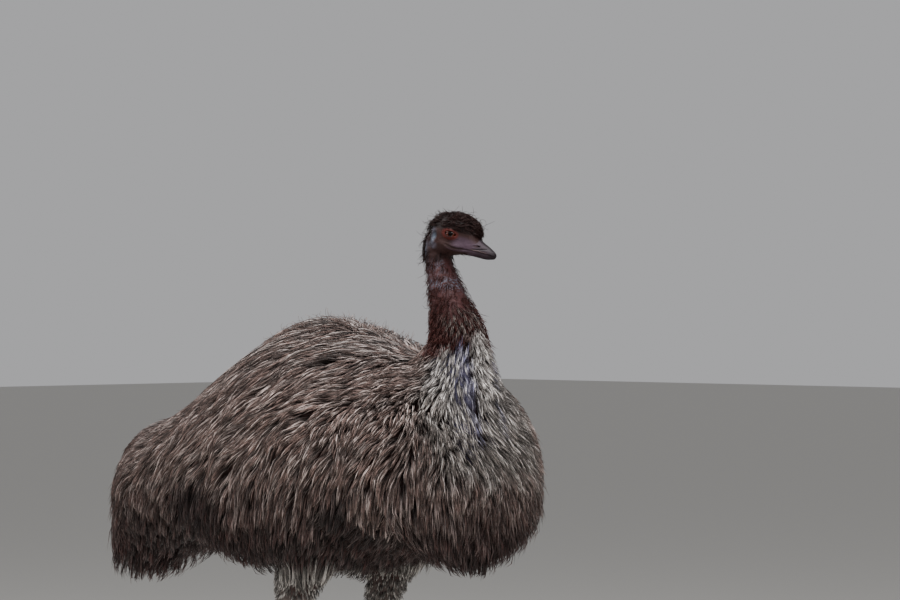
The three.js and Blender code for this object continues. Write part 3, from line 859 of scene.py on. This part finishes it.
def make_coat(skin_obj, guide_obj):
    """The body's feathers, rooted in the skin and laid to the coat's outline."""
    guide, skin = surface_of(guide_obj), surface_of(skin_obj)

    def body_density(p, facing):
        x, y, z = p.T
        out = np.abs(y)
        density = 10200 * (1 + 0.3 * ease(0.2, 0.34, x)) * (1 - on_neck(p))
        density = density * (1 + 1.6 * ease(0.60, 0.55, z) * near_leg(p)) * ease(0.435, 0.46, z)
        beside_neck = 0.9 * ease(0.29, 0.33, x) * ease(0.50, 0.46, x)
        density = density * (1 + beside_neck * ease(0.05, 0.08, out) * ease(0.17, 0.14, out))
        return density * (0.8 + 0.2 * ease(0.004, 0.013, strip_distance(p)))

    def cover(p, facing):
        x, y, z = p.T
        thigh = near_leg(p)
        length = 0.072 - 0.018 * ease(0.12, 0.3, x) * ease(0.75, 0.85, z) + 0.024 * ease(-0.25, -0.42, x)
        length += 0.022 * ease(0.93, 1.0, z) * ease(0.36, 0.3, x)
        length -= 0.018 * ease(0.88, 0.97, z) * ease(0.3, 0.36, x)
        length = length * (1 - thigh * (1 - np.interp(z, [0.45, 0.56, 0.61], [0.16, 0.2, 1.0])))
        width = 0.0022 - 0.0006 * ease(0.40, 0.46, x) - 0.0006 * thigh * ease(0.6, 0.54, z)
        lift = 0.003 + 0.005 * ease(-0.36, -0.46, x) + 0.004 * ease(0.44, 0.5, x)
        lift -= 0.0022 * ease(0.93, 1.0, z) * (x < 0.34)
        tips = 0.030 + 0.022 * ease(-0.3, -0.45, x) - 0.026 * thigh
        return tufts(p, facing, guide, skin, length, 5, width, length * 0.09, lift, tips, 0.0035)

    first = cover(*scatter(guide, body_density))
    extra = cover(*thin_places(guide, lambda p, facing: 0.9 * body_density(p, facing), first[1]))
    own = np.concatenate([first[0], extra[0] + first[0].max() + 1])
    place, side, up, half, root = (np.concatenate(pair) for pair in zip(first[1:], extra[1:]))
    tip = place[:, -1]
    collar = ease(0.88, 0.94, tip[:, 2]) * ease(0.385, 0.415, tip[:, 0])
    collar = collar * ease(0.125, 0.09, np.abs(tip[:, 1]))
    patchy = 1 + 0.25 * ease(0.93, 1.0, tip[:, 2]) * (tip[:, 0] < 0.34) - 0.2 * collar
    colours = tones(own, place, patchy)
    thigh = (root[:, 2] < 0.57) & (near_leg(root) > 0.3)
    areas = [("thigh", thigh)] + [(name, tip[:, 0] < front) for name, front in COAT_AREAS]
    left = np.ones(len(own), bool)
    pieces = []
    for name, where in areas:
        for hand, way in SIDES:
            mine = left & where & (tip[:, 1] * way > 0)
            left &= ~mine
            picked = (v[mine] for v in (place, side, up, half, colours, root))
            pieces.append(strands("coat_" + name + "_" + hand, 0.45, *picked))
    return pieces


def head_places(p):
    """How far forward, out to its side and up each place on the head is, in millimetres."""
    ahead, side, up = to_head(p).T
    return ahead, np.abs(side), up


def make_hair(skin_obj, guide_obj):
    """The neck's hair, sparse above and thick below, the crown's hair, the face's bristles and the wisps."""
    guide, skin = surface_of(guide_obj), surface_of(skin_obj)
    pieces = []

    def neck_density(p, facing):
        density = np.interp(p[:, 2], [1.07, 1.1, 1.14, 1.18], [42000, 32000, 28000, 30000]) * on_neck(p)
        density *= 0.75 + 0.5 * ease(-0.5, 0.5, waves(p, 0.02, 41))
        return density * (1 - ease(1.165, 1.19, p[:, 2]) * ease(0, 10, to_head(p)[:, 0]))

    p, facing = scatter(guide, neck_density)
    z = p[:, 2]
    heights = [0.98, 1.07, 1.1, 1.2]
    length = np.interp(z, heights, [0.034, 0.028, 0.018, 0.016])
    width = np.interp(z, heights, [0.0016, 0.0014, 0.0008, 0.0007])
    lift = np.interp(z, heights, [0.003, 0.003, 0.002, 0.0015])
    lift = np.where(chance.random(len(z)) < 0.14, lift * 3.4, lift)
    grown = tufts(p, facing, guide, skin, length, 3, width, length * 0.14, lift, 0 * z, 0.0028)
    own, place, side, up, half, root = grown
    colours = tones(own, place, np.full(len(own), 0.4))
    low = z[own] < 1.055
    for name, mine in (("hair_neck_lower", low), ("hair_neck_upper", ~low)):
        picked = (v[mine] for v in (place, side, up, half, colours, root))
        pieces.append(strands(name, 0.6, *picked))

    def cap_density(p, facing):
        ahead, out, up = head_places(p)
        crown = ease(23, 30, up - 0.04 * (ahead - 70)) * (1 + 0.8 * hump(ahead, 46, 9))
        nape = ease(34, 22, ahead) * (1 - 0.8 * ease(12, 18, out) * ease(28, 18, up))
        return 150000 * np.maximum(crown, nape) * ease(1.165, 1.18, p[:, 2]) * ease(0, 8, ahead)

    def bristle_density(p, facing):
        ahead, out, up = head_places(p)
        brow = 60000 * ease(20, 30, up) * ease(110, 104, ahead)
        density = 30000 * ease(112, 104, ahead) + 26000 * ease(-14, -22, up) + brow
        flat = to_head(p) * [1, 0, 1]
        bare = np.maximum(blob(flat, [33, 0, 4], [8, 1, 16]), blob(flat, [99, 0, 3], [27, 1, 15]))
        density = density * (1 - 0.8 * bare * ease(8, 14, out))
        density *= np.clip(ease(12.5, 14.5, eye_distance(flat)) + ease(14, 8, out), 0, 1)
        return density * ease(1.165, 1.19, p[:, 2]) * ease(0, 10, ahead)

    for name, ground, density, long, wide, rise, sink in (
        ("hair_crown", guide, cap_density, 0.017, 0.00085, 0.0014, 0.0012),
        ("hair_face", skin, bristle_density, 0.0055, 0.0006, 0.0008, 0.0004),
    ):
        p, facing = scatter(ground, density)
        brow = ease(80, 100, to_head(p)[:, 0]) * ease(20, 30, to_head(p)[:, 2])
        length, width = long * (1 + 0.25 * brow), np.full(len(p), wide)
        lift = np.where(chance.random(len(p)) < 0.15, 3.5 * rise, rise)
        grown = tufts(p, facing, ground, skin, length, 3, width, length * 0.2, lift, 0 * width, sink)
        own, place, side, up, half, root = grown
        colours = tones(own, place, np.full(len(own), 0.35))
        pieces.append(strands(name, 0.7, place, side, up, half, colours, root))
    pieces.append(make_wisps(guide, skin))
    return pieces


def make_wisps(guide, skin):
    """Long thin hairs that curl off the forehead, the crown and the back of the head and neck."""

    def density(p, facing):
        ahead, _, up = head_places(p)
        brow = ease(84, 96, ahead) * ease(26, 34, up)
        back = ease(40, 24, ahead) * ease(-70, -50, up)
        nape = 0.5 * ease(0.02, -0.01, p[:, 0] - 0.36) * ease(1.0, 1.03, p[:, 2])
        crest = ease(24, 34, up) * ease(40, 60, ahead) * 0.25
        return 9000 * np.maximum.reduce([0.6 * brow, back, crest, nape * (p[:, 2] < 1.18)]) * (p[:, 2] > 1.0)

    p, facing = scatter(guide, density)
    count = len(p)
    root, _ = nearest(skin, p)
    forward = ease(84, 96, to_head(p)[:, 0])[:, None]
    outward = facing * chance.uniform(0.5, 1.6, (count, 1))
    ahead = unit(outward + lie(p, facing) * (1 - 1.5 * forward) + chance.normal(0, 0.3, (count, 3)))
    axis = unit(np.cross(ahead, facing) + chance.normal(0, 0.35, (count, 3)))
    length = chance.uniform(0.008, 0.022, count) * (1 + 1.1 * forward[:, 0] * chance.random(count))
    curl = chance.normal(0, 1.0, count) + 1.8 * forward[:, 0]
    line, place = [root], p
    for _ in range(WISP - 1):
        line.append(place)
        angle = (curl * 2.4 / (WISP - 1))[:, None]
        ahead = unit(ahead * np.cos(angle) + np.cross(axis, ahead) * np.sin(angle))
        place = place + ahead * (length / (WISP - 2))[:, None]
    place = np.stack(line, 1)
    along_it = unit(np.gradient(place, axis=1))
    side = unit(np.cross(along_it, axis[:, None]))
    up = np.cross(along_it, side)
    half = np.linspace(0.0004, 0.0002, WISP)[None] * np.ones((count, 1))
    half[:, [0, -1]] = 0
    colours = tones(np.arange(count), place, np.full(count, 0.4))
    return strands("hair_wisps", 1, place, side, up, half, colours, root)


# Bill, eyes, claws and scales
def nostril(ahead, up):
    """How deep a place is in the nostril, and in the groove that runs below it towards the tip."""
    slit = np.exp(-(((ahead - 124) / 5.5) ** 4) - ((up - 5.8 - 0.2 * (ahead - 124)) / 1.4) ** 2)
    groove = hump(up - 0.4, 0.26 * (ahead - 125), 1.3) * ease(112, 120, ahead) * ease(150, 142, ahead)
    return slit, groove


def bill_colour(p, upper):
    """Mauve as the face at its root, dark horn at its ridge and tip, and pale along its cutting edge."""
    ahead, out, up = head_places(p)
    gape = np.interp(ahead, *GAPE_LINE)
    colour = blend(blend(MAUVE, HORN, ease(108, 136, ahead)), RIDGE, ease(145, 158, ahead) * 0.8)
    if upper:
        slit, groove = nostril(ahead, up)
        colour = blend(colour, RIDGE, ease(8.5, 3, out) * ease(0, 6, up) * 0.85)
        # The nostril slit and the groove below it are painted near black: painted shade in the recess.
        colour = blend(colour, RIDGE * 0.4, np.maximum(slit, 0.8 * groove))
        pale = hump(up - gape, 1.5, 0.9) * ease(110, 120, ahead) * ease(152, 138, ahead)
        return blend(colour, TOMIUM, pale * 0.6)
    return blend(colour, RIDGE * 1.3, ease(gape - 6, gape - 13, up) * 0.7)


def bill_half(name, upper):
    """One half of the bill, flat on the gape line, with a ridge, a nostril in its groove, a hooked tip."""

    def shape(along, angle):
        row = spline(BILL, along**0.8)
        power = 1.75 if upper else 2.1
        at = midline(row[:, 0], row[:, 1])
        ahead, side, up = section(at, UP, row[:, 2:], angle, power, power).T
        gape = np.interp(ahead, *GAPE_LINE)
        up = np.maximum(up, gape + 0.15) if upper else np.minimum(up, gape - 0.35)
        out = np.abs(side)
        if upper:
            slit, groove = nostril(ahead, up)
            out = out - 4.2 * slit - 1.1 * groove
            rim = 0.5 * hump(up - 9.4, 0.1 * (ahead - 124), 2.2)
            out = out + rim * ease(106, 114, ahead) * ease(142, 132, ahead)
            out = out + 0.35 * hump(up - gape, 1.6, 1.1)
        else:
            out = out * (1 - 0.06 * ease(gape - 4, gape, up))
        return from_head(np.stack([ahead, np.sign(side) * np.maximum(out, 0), up], 1))

    obj = tube(name, 96, 120, shape)
    paint(obj.data, bill_colour(points_of(obj), upper))
    return smooth(obj)


def eye(name, way):
    """A globe with a sunk iris and a pupil, under a clear cornea."""
    place, axes = eye_frame(way)

    def ball(along, angle):
        polar = np.interp(along, [0, 0.55, 0.62], [0.03, 2.26, 2.34])
        reach = EYE_RADIUS * np.sin(polar)
        front = -EYE_RADIUS * np.cos(polar)
        # Inside the rim the iris falls to the pupil, and the pupil is a pit.
        inside = along > 0.625
        runs = [0.62, 0.66, 0.84, 0.88, 1]
        reach = np.where(inside, np.interp(along, runs, [9.35, 9.0, 4.6, 4.1, 3.6]), reach)
        front = np.where(inside, np.interp(along, runs, [9.0, 8.5, 8.0, 7.6, 5.6]), front)
        local = np.stack([reach * np.cos(angle), reach * np.sin(angle), front], 1)
        return from_head(place + local @ axes)

    def clear(along, angle):
        polar = 0.02 + along * 0.98
        reach = 11.9 * np.sin(polar)
        front = 11.9 * np.cos(polar) + 0.9
        # Its edge turns in under the lids.
        edge = 0.82
        reach = np.where(along > edge, 9.4 * (1 - (along - edge) / 0.18 * 0.08), reach)
        front = np.where(along > edge, 7.6, front)
        local = np.stack([reach * np.cos(angle), -reach * np.sin(angle), front], 1)
        return from_head(place + local @ axes)

    return smooth(tube(name, 64, 72, ball)), smooth(tube(name + "_cornea", 48, 24, clear))


def claw(name, turn, length, reach, half, way):
    """A blunt claw: round on top, curved down to the floor, and hollowed along its sides."""
    root, height = half * 0.5, half * 0.72

    def shape(along, angle):
        t = np.sin(along * np.pi / 2) * 0.995
        size = root * np.sqrt(1 - t**1.5) + 0.5
        at = midline(length - 15 + (reach + 14.6) * t, height - (height - 1.3) * t * t)
        local = section(at, UP, np.stack([0.8 * size, size, size], 1), angle, 2.0, 2.6)
        local[:, 1] *= 1 - 0.12 * hump(local[:, 2], at[:, 2], 1.6)
        local[:, 2] = np.maximum(local[:, 2], 0.05)
        return on_foot(local, turn, way)

    return smooth(tube(name, 28, 40, shape))


def scale_plate():
    """One scale, modelled once: a six-sided plate with sloping sides and a domed top."""
    obj = start("cone", vertices=6, radius1=SCALE_FOOT, radius2=0.8, depth=1, end_fill_type="TRIFAN")
    points = points_of(obj)
    faces = [tuple(face.vertices) for face in obj.data.polygons if face.normal.z > -0.5]
    points[(points[:, 2] > 0) & (np.hypot(points[:, 0], points[:, 1]) < 0.1), 2] += 0.35
    bpy.data.objects.remove(obj)
    used = sorted({point for face in faces for point in face})
    index = {point: i for i, point in enumerate(used)}
    return points[used], [tuple(index[point] for point in face) for face in faces]


# How far a plate's widest edge is from its middle, before it is stretched to its size.
SCALE_FOOT = 1.03


def staggered(many, row):
    """Angles spread round a limb, with every second row turned by half a step."""
    return 2 * np.pi * (np.arange(many) + 0.5 * (row % 2)) / many


def scale_spots(way):
    """Where each scale of a leg lies, which way it points, and its half length, half width and height."""
    spots = []

    def add(place, ahead, long, wide, high):
        sizes = (np.broadcast_to(v, len(place)) for v in (long, wide, high))
        spots.append((place, np.broadcast_to(ahead, place.shape), *sizes))

    line = spline(leg_rows(SHANK, way), np.linspace(0, 1, 200))[::-1]
    for i, z in enumerate(np.arange(0.448, 0.004, -0.0027)):
        row = np.array([np.interp(z / MM, line[:, 2], line[:, k]) for k in range(6)])
        around = 2 * np.pi * (row[3] + (row[4] + row[5]) / 2) / 2
        many = int(around / 9.4)
        angle = staggered(many, i) + chance.normal(0, 0.02, many)
        # The front is left free for the large plates.
        free = 0.62 if 0.07 < z < 0.375 else 0.0
        angle = angle[np.abs((angle - np.pi / 2 + np.pi) % (2 * np.pi) - np.pi) > free]
        high = np.where(np.sin(angle) > 0, row[4], row[5])
        x, y = row[0] + high * np.sin(angle), row[1] + row[3] * np.cos(angle)
        p = np.stack([x, y, np.full(len(angle), z / MM)], 1) * MM
        p[:, 2] += chance.normal(0, 0.0002, len(p))
        add(p, DOWN, 0.0031, 0.0032, 0.0011)
    front = np.arange(0.372, 0.07, -0.0092)
    row = np.stack([np.interp(front / MM, line[:, 2], line[:, k]) for k in range(6)], 1)
    p = np.stack([row[:, 0] + row[:, 4], row[:, 1], front / MM], 1) * MM
    add(p, DOWN, 0.0058, row[:, 3] * 0.72 * MM, 0.0016)
    for _, turn, length, _, half in TOES:
        t = np.arange(0.02, 0.93, 0.0068 / (length * MM))
        size = half * (1 - 0.3 * t)
        x, z = toe_line(length, half, t)
        p = midline(x, z + size * 0.95 + toe_rise(t))
        slope = np.gradient(p, axis=0)
        ahead = unit(on_foot(slope, turn, way) - on_foot(0 * slope, turn, way))
        add(on_foot(p, turn, way), ahead, 0.0044, size * 0.62 * MM, 0.0013)
        heading = np.array([np.cos(np.radians(way * turn)), np.sin(np.radians(way * turn)), -0.2])
        for i, t in enumerate(np.arange(0.03, 0.97, 0.0022 / (length * MM))):
            wide = half * (1 - 0.3 * t)
            angle = staggered(max(4, int(np.pi * 2 * wide / 7.6)), i)
            angle = angle[(np.abs(np.cos(angle)) > 0.5) | (np.sin(angle) < 0)]
            x, z = toe_line(length, half, t)
            high = np.where(np.sin(angle) > 0, wide * 0.95 + toe_rise(t), wide * 0.9)
            p = np.stack([np.full(len(angle), x), wide * np.cos(angle), z + high * np.sin(angle)], 1)
            p = on_foot(p, turn, way)
            add(p[p[:, 2] > 0.0015], heading, 0.0026, 0.0026, 0.001)
    return [np.concatenate(column) for column in zip(*spots)]


def scales(name, way, skin):
    """Plates down the front of a shank and over its toes, and small round scales everywhere else."""
    plate, faces = scale_plate()
    place, *sizes = scale_spots(way)
    place, facing = nearest(skin, place)
    keep = place[:, 2] > 0.0006
    place, facing, ahead, long, wide, high = (v[keep] for v in (place, facing, *sizes))
    long, wide = long * chance.uniform(0.9, 1.1, len(long)), wide * chance.uniform(0.92, 1.08, len(wide))
    ahead = unit(ahead - facing * (ahead * facing).sum(1, keepdims=True))
    side = np.cross(facing, ahead)
    # Each plate's free end stands out over the next one's root.
    tilt = 0.10
    up = unit(facing - ahead * tilt)
    ahead = unit(ahead + facing * tilt)
    points = place[:, None] + ahead[:, None] * (plate[:, 0] * long[:, None])[..., None]
    points += side[:, None] * (plate[:, 1] * wide[:, None])[..., None]
    points += up[:, None] * (plate[:, 2] * high[:, None])[..., None]
    # Wide plates wrap round the limb they lie on.
    drop = (plate[:, 1] ** 2)[None] * (wide[:, None] ** 2) / 0.034
    points -= up[:, None] * drop[..., None]
    points[..., 2] = np.maximum(points[..., 2], 0.0002)
    base = blend(LEG, LEG_DARK, 0.35 + 0.35 * waves(place, 0.04, 3))
    base = base * chance.uniform(0.85, 1.15, (len(place), 1))
    # The tops are paler, and their sides darker: painted shade in the gaps between the plates.
    edge = np.where(plate[:, 2] > 0, 1.1, 0.55)
    around = np.arctan2(place[:, 1] - way * FOOT_APART * MM, place[:, 0] - 0.05)
    roots = np.stack([(around / np.pi + 1) / 2, place[:, 2]], 1)
    roots = (roots - roots.min(0)) / np.ptp(roots, axis=0)
    patch = (plate[:, :2] + SCALE_FOOT) / (2 * SCALE_FOOT)
    return copies(name, points, faces, base[:, None] * edge[None, :, None], roots, patch)


# Looks
def shader(name, roughness, sheen=0.0, coat=0.0, specular=0.5):
    """A new material, its main shader, and a function that adds a node with its settings and links."""
    material = bpy.data.materials.new(name)
    material.use_nodes = True
    tree = material.node_tree
    main = tree.nodes["Principled BSDF"]
    main.inputs["Roughness"].default_value = roughness
    main.inputs["Sheen Weight"].default_value = sheen
    main.inputs["Coat Weight"].default_value = coat
    main.inputs["Specular IOR Level"].default_value = specular

    def socket(made, key):
        return made.inputs[int(key[1:])] if key[1:].isdigit() else made.inputs.get(key)

    def node(kind, settings=None, **links):
        """Adds a node. Each key is an input's name, an underscore and its number, or a setting's name."""
        made = tree.nodes.new("ShaderNode" + kind)
        for key, value in (settings or {}).items():
            if socket(made, key) is None:
                setattr(made, key, value)
            else:
                socket(made, key).default_value = value
        for key, source in links.items():
            tree.links.new(source, socket(made, key))
        return made

    return material, main, node, tree.links.new


def spread(node, noise, low, high):
    """The middle of a noise's range, spread from low to high."""
    settings = {"From Min": 0.3, "From Max": 0.7, "To Min": low, "To Max": high}
    return node("MapRange", settings, Value=noise.outputs["Fac"]).outputs["Result"]


def tinted(name, roughness, grains, strength, **more):
    """A material coloured by the piece's own Tint, varied and bumped by noises of sizes in metres."""
    material, main, node, link = shader(name, roughness, **more)
    place = node("TexCoord").outputs["Object"]
    tint = node("Attribute", {"attribute_name": "Tint"}).outputs["Color"]
    height = None
    for size, share in grains:
        noise = node("TexNoise", {"Scale": 1 / size, "Detail": 3.0, "Roughness": 0.6}, Vector=place)
        tone = spread(node, noise, 1 - share, 1 + share)
        tint = node("VectorMath", {"operation": "MULTIPLY"}, _0=tint, _1=tone).outputs[0]
        grain = noise.outputs["Fac"]
        if height is not None:
            grain = node("Math", {"operation": "ADD"}, _0=height, _1=grain).outputs[0]
        height = grain
    link(tint, main.inputs["Base Color"])
    bump = node("Bump", {"Strength": strength, "Distance": 0.0008}, Height=height)
    link(bump.outputs["Normal"], main.inputs["Normal"])
    return material


def looks():
    """The bird's materials, each named for what the real one is."""
    feather_grains = [(0.0011, 0.12), (0.0065, 0.34), (0.07, 0.10)]
    skin_grains = [(0.0011, 0.14), (0.0036, 0.16), (0.018, 0.12)]
    scale_grains = [(0.0009, 0.16), (0.005, 0.14), (0.03, 0.12)]
    return {
        # Loose feathers: dull, with a soft sheen along the vanes and tone that drifts over a hand's width.
        "feathers": tinted("emu_feathers", 0.62, feather_grains, 0.25, sheen=0.05, specular=0.3),
        # Hair-like feathers: dark and matte, each a little lighter or darker along its length.
        "hair": tinted("neck_and_head_hair", 0.6, [(0.0009, 0.10), (0.012, 0.15)], 0.2, specular=0.18),
        # Bare skin: fine pits and creases, faintly moist.
        "skin": tinted("bare_bird_skin", 0.62, skin_grains, 0.5, specular=0.25),
        # Bill horn: fine growth lines and a satin shine, drier than the claws.
        "bill": tinted("bill_horn", 0.55, [(0.0009, 0.12), (0.009, 0.14)], 0.3, specular=0.22),
        # Leg scales: dry horn with a dull shine and paler tops.
        "scales": tinted("leg_scales", 0.52, scale_grains, 0.35, specular=0.4),
    }


def colour_stops(ramp, stops):
    """Gives a colour ramp its stops, as [position, hex colour]."""
    elements = ramp.color_ramp.elements
    while len(elements) < len(stops):
        elements.new(1.0)
    for element, (position, colour) in zip(elements, stops):
        element.position = position
        element.color = (*linear(colour)[0], 1)


def claw_material():
    """Horn: clouded dark and brown, with fine growth lines and a satin shine."""
    material, main, node, link = shader("claw_horn", 0.5, coat=0.03, specular=0.35)
    place = node("TexCoord").outputs["Object"]
    cloud = node("TexNoise", {"Scale": 1 / 0.016, "Detail": 4.0}, Vector=place)
    fine = node("TexNoise", {"Scale": 1 / 0.0013, "Detail": 3.0, "Roughness": 0.65}, Vector=place)
    ramp = node("ValToRGB", None, _0=cloud.outputs["Fac"])
    colour_stops(ramp, [(0.34, "#2c2724"), (0.68, "#4b423b")])
    tone = spread(node, fine, 0.8, 1.2)
    tint = node("VectorMath", {"operation": "MULTIPLY"}, _0=ramp.outputs["Color"], _1=tone)
    link(tint.outputs[0], main.inputs["Base Color"])
    link(spread(node, fine, 0.44, 0.6), main.inputs["Roughness"])
    bump = node("Bump", {"Strength": 0.35, "Distance": 0.0006}, Height=fine.outputs["Fac"])
    link(bump.outputs["Normal"], main.inputs["Normal"])
    return material


def eye_material(side, way):
    """Orange-brown iris, rayed and darker at its rim, round a black pupil, wet under its cornea."""
    material, main, node, link = shader("eyeball_" + side, 0.4, specular=0.0)
    object_place = node("TexCoord").outputs["Object"]
    place, axes = eye_frame(way)
    out = HEAD_AXES @ axes[2]
    # How far a point is from the line through the pupil's middle.
    local = node("VectorMath", {"operation": "SUBTRACT", "_1": from_head(place)}, _0=object_place).outputs[0]
    level = node("VectorMath", {"operation": "DOT_PRODUCT", "_1": out}, _0=local).outputs["Value"]
    lift = node("VectorMath", {"operation": "SCALE", "_0": out}, Scale=level).outputs[0]
    flat = node("VectorMath", {"operation": "SUBTRACT"}, _0=local, _1=lift).outputs[0]
    reach = node("VectorMath", {"operation": "LENGTH"}, _0=flat).outputs["Value"]
    # Fine noise breaks the rings up into rays.
    rays = node("TexNoise", {"Scale": 1 / 0.0011, "Detail": 2.0}, Vector=object_place).outputs["Fac"]
    jitter = node("Math", {"operation": "MULTIPLY_ADD", "_1": 0.0011}, _0=rays, _2=reach).outputs[0]
    share = node("MapRange", {"From Min": 0.0, "From Max": 0.0125}, Value=jitter)
    ramp = node("ValToRGB", None, _0=share.outputs["Result"])
    pupil = [(0.0, "#050404"), (0.37, "#050404")]
    colour_stops(ramp, [*pupil, (0.41, "#240f09"), (0.56, "#552010"), (0.70, "#3a150b"), (0.78, "#110906")])
    link(ramp.outputs["Color"], main.inputs["Base Color"])
    return material


def cornea_material():
    """Clear and wet: only its reflection shows."""
    material, main, node, link = shader("cornea", 0.02)
    see = node("BsdfTransparent")
    gloss = node("BsdfAnisotropic", {"Roughness": 0.02})
    fresnel = node("Fresnel", {"IOR": 1.38})
    inside = node("NewGeometry").outputs["Backfacing"]
    outside = node("Math", {"operation": "SUBTRACT", "_0": 1.0}, _1=inside)
    share = node("Math", {"operation": "MULTIPLY"}, _0=fresnel.outputs[0], _1=outside.outputs[0])
    mix = node("MixShader", None, _0=share.outputs[0], _1=see.outputs[0], _2=gloss.outputs[0])
    link(mix.outputs[0], material.node_tree.nodes["Material Output"].inputs["Surface"])
    return material


def dress(piece, material, slot, *nodes):
    """Gives a piece its material, and hides the nodes that it replaces. The slot is not used."""
    piece.data.materials.clear()
    piece.data.materials.append(material)
    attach(piece, "root")
    if nodes:
        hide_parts(*nodes)


def build():
    """Every piece of the bird, each with its looks."""
    skin, guide = make_skin(), make_guide()
    sink_skin(skin, guide)
    paint(skin.data, skin_colour(points_of(skin)))
    look = looks()
    flesh = ["head", "neck_upper", "neck_lower", "breast", "trunk", "tail"]
    flesh += [part + side for side, _ in SIDES for part in ("wing_", "drumstick_", "shank_")]
    flesh += ["toe_" + toe[0] + "_" + side for side, _ in SIDES for toe in TOES]
    dress(skin, look["skin"], "face_skin", *flesh)
    for piece in make_coat(skin, guide):
        dress(piece, look["feathers"], "plumage")
    for piece in make_hair(skin, guide):
        dress(piece, look["hair"], "neck_hair")
    bpy.data.objects.remove(guide)
    surface = surface_of(skin)
    for side, way in SIDES:
        dress(scales("leg_scales_" + side, way, surface), look["scales"], "scaled_leg")
    dress(bill_half("bill_horn_upper", True), look["bill"], "bill_horn", "bill_upper")
    dress(bill_half("bill_horn_lower", False), look["bill"], "bill_horn", "bill_lower")
    horn, wet = claw_material(), cornea_material()
    for side, way in SIDES:
        globe, cornea = eye("eyeball_" + side, way)
        dress(globe, eye_material(side, way), "eyeball", "eye_" + side)
        dress(cornea, wet, "eyeball")
        for toe, turn, length, reach, half in TOES:
            node = "claw_" + toe + "_" + side
            dress(claw(node + "_horn", turn, length, reach, half, way), horn, "claw_horn", node)


def studio():
    """A pale floor, a large soft light overhead, and the camera where the photograph was taken from."""
    floor = start("plane", size=60)
    floor.name = "floor"
    material, main, _, _ = shader("studio_floor", 0.8)
    main.inputs["Base Color"].default_value = (*linear("#b9b7b2")[0], 1)
    floor.data.materials.append(material)
    camera = bpy.data.objects.new("camera", bpy.data.cameras.new("camera"))
    bpy.context.collection.objects.link(camera)
    camera.location = (4.105, -3.718, 1.06)
    camera.rotation_euler = (np.radians(90.3), 0, np.radians(45))
    camera.data.angle = np.radians(18.1)
    bpy.context.scene.camera = camera
    for name, place, turn, size, power in [
        ("overhead", (0.6, -0.6, 3.6), (0, 0, 0), 2.6, 190),
        ("front_right", (3.4, -2.2, 2.6), (np.radians(58), 0, np.radians(58)), 2.4, 60),
        ("behind", (-2.6, -2.4, 2.6), (np.radians(58), 0, np.radians(-46)), 2.4, 40),
    ]:
        light = bpy.data.objects.new(name, bpy.data.lights.new(name, "AREA"))
        bpy.context.collection.objects.link(light)
        light.data.size = size
        light.data.energy = power
        light.location = place
        light.rotation_euler = turn
    world = bpy.data.worlds.new("studio")
    world.use_nodes = True
    world.node_tree.nodes["Background"].inputs["Color"].default_value = (0.86, 0.86, 0.88, 1)
    world.node_tree.nodes["Background"].inputs["Strength"].default_value = 0.5
    bpy.context.scene.world = world


build()
studio()
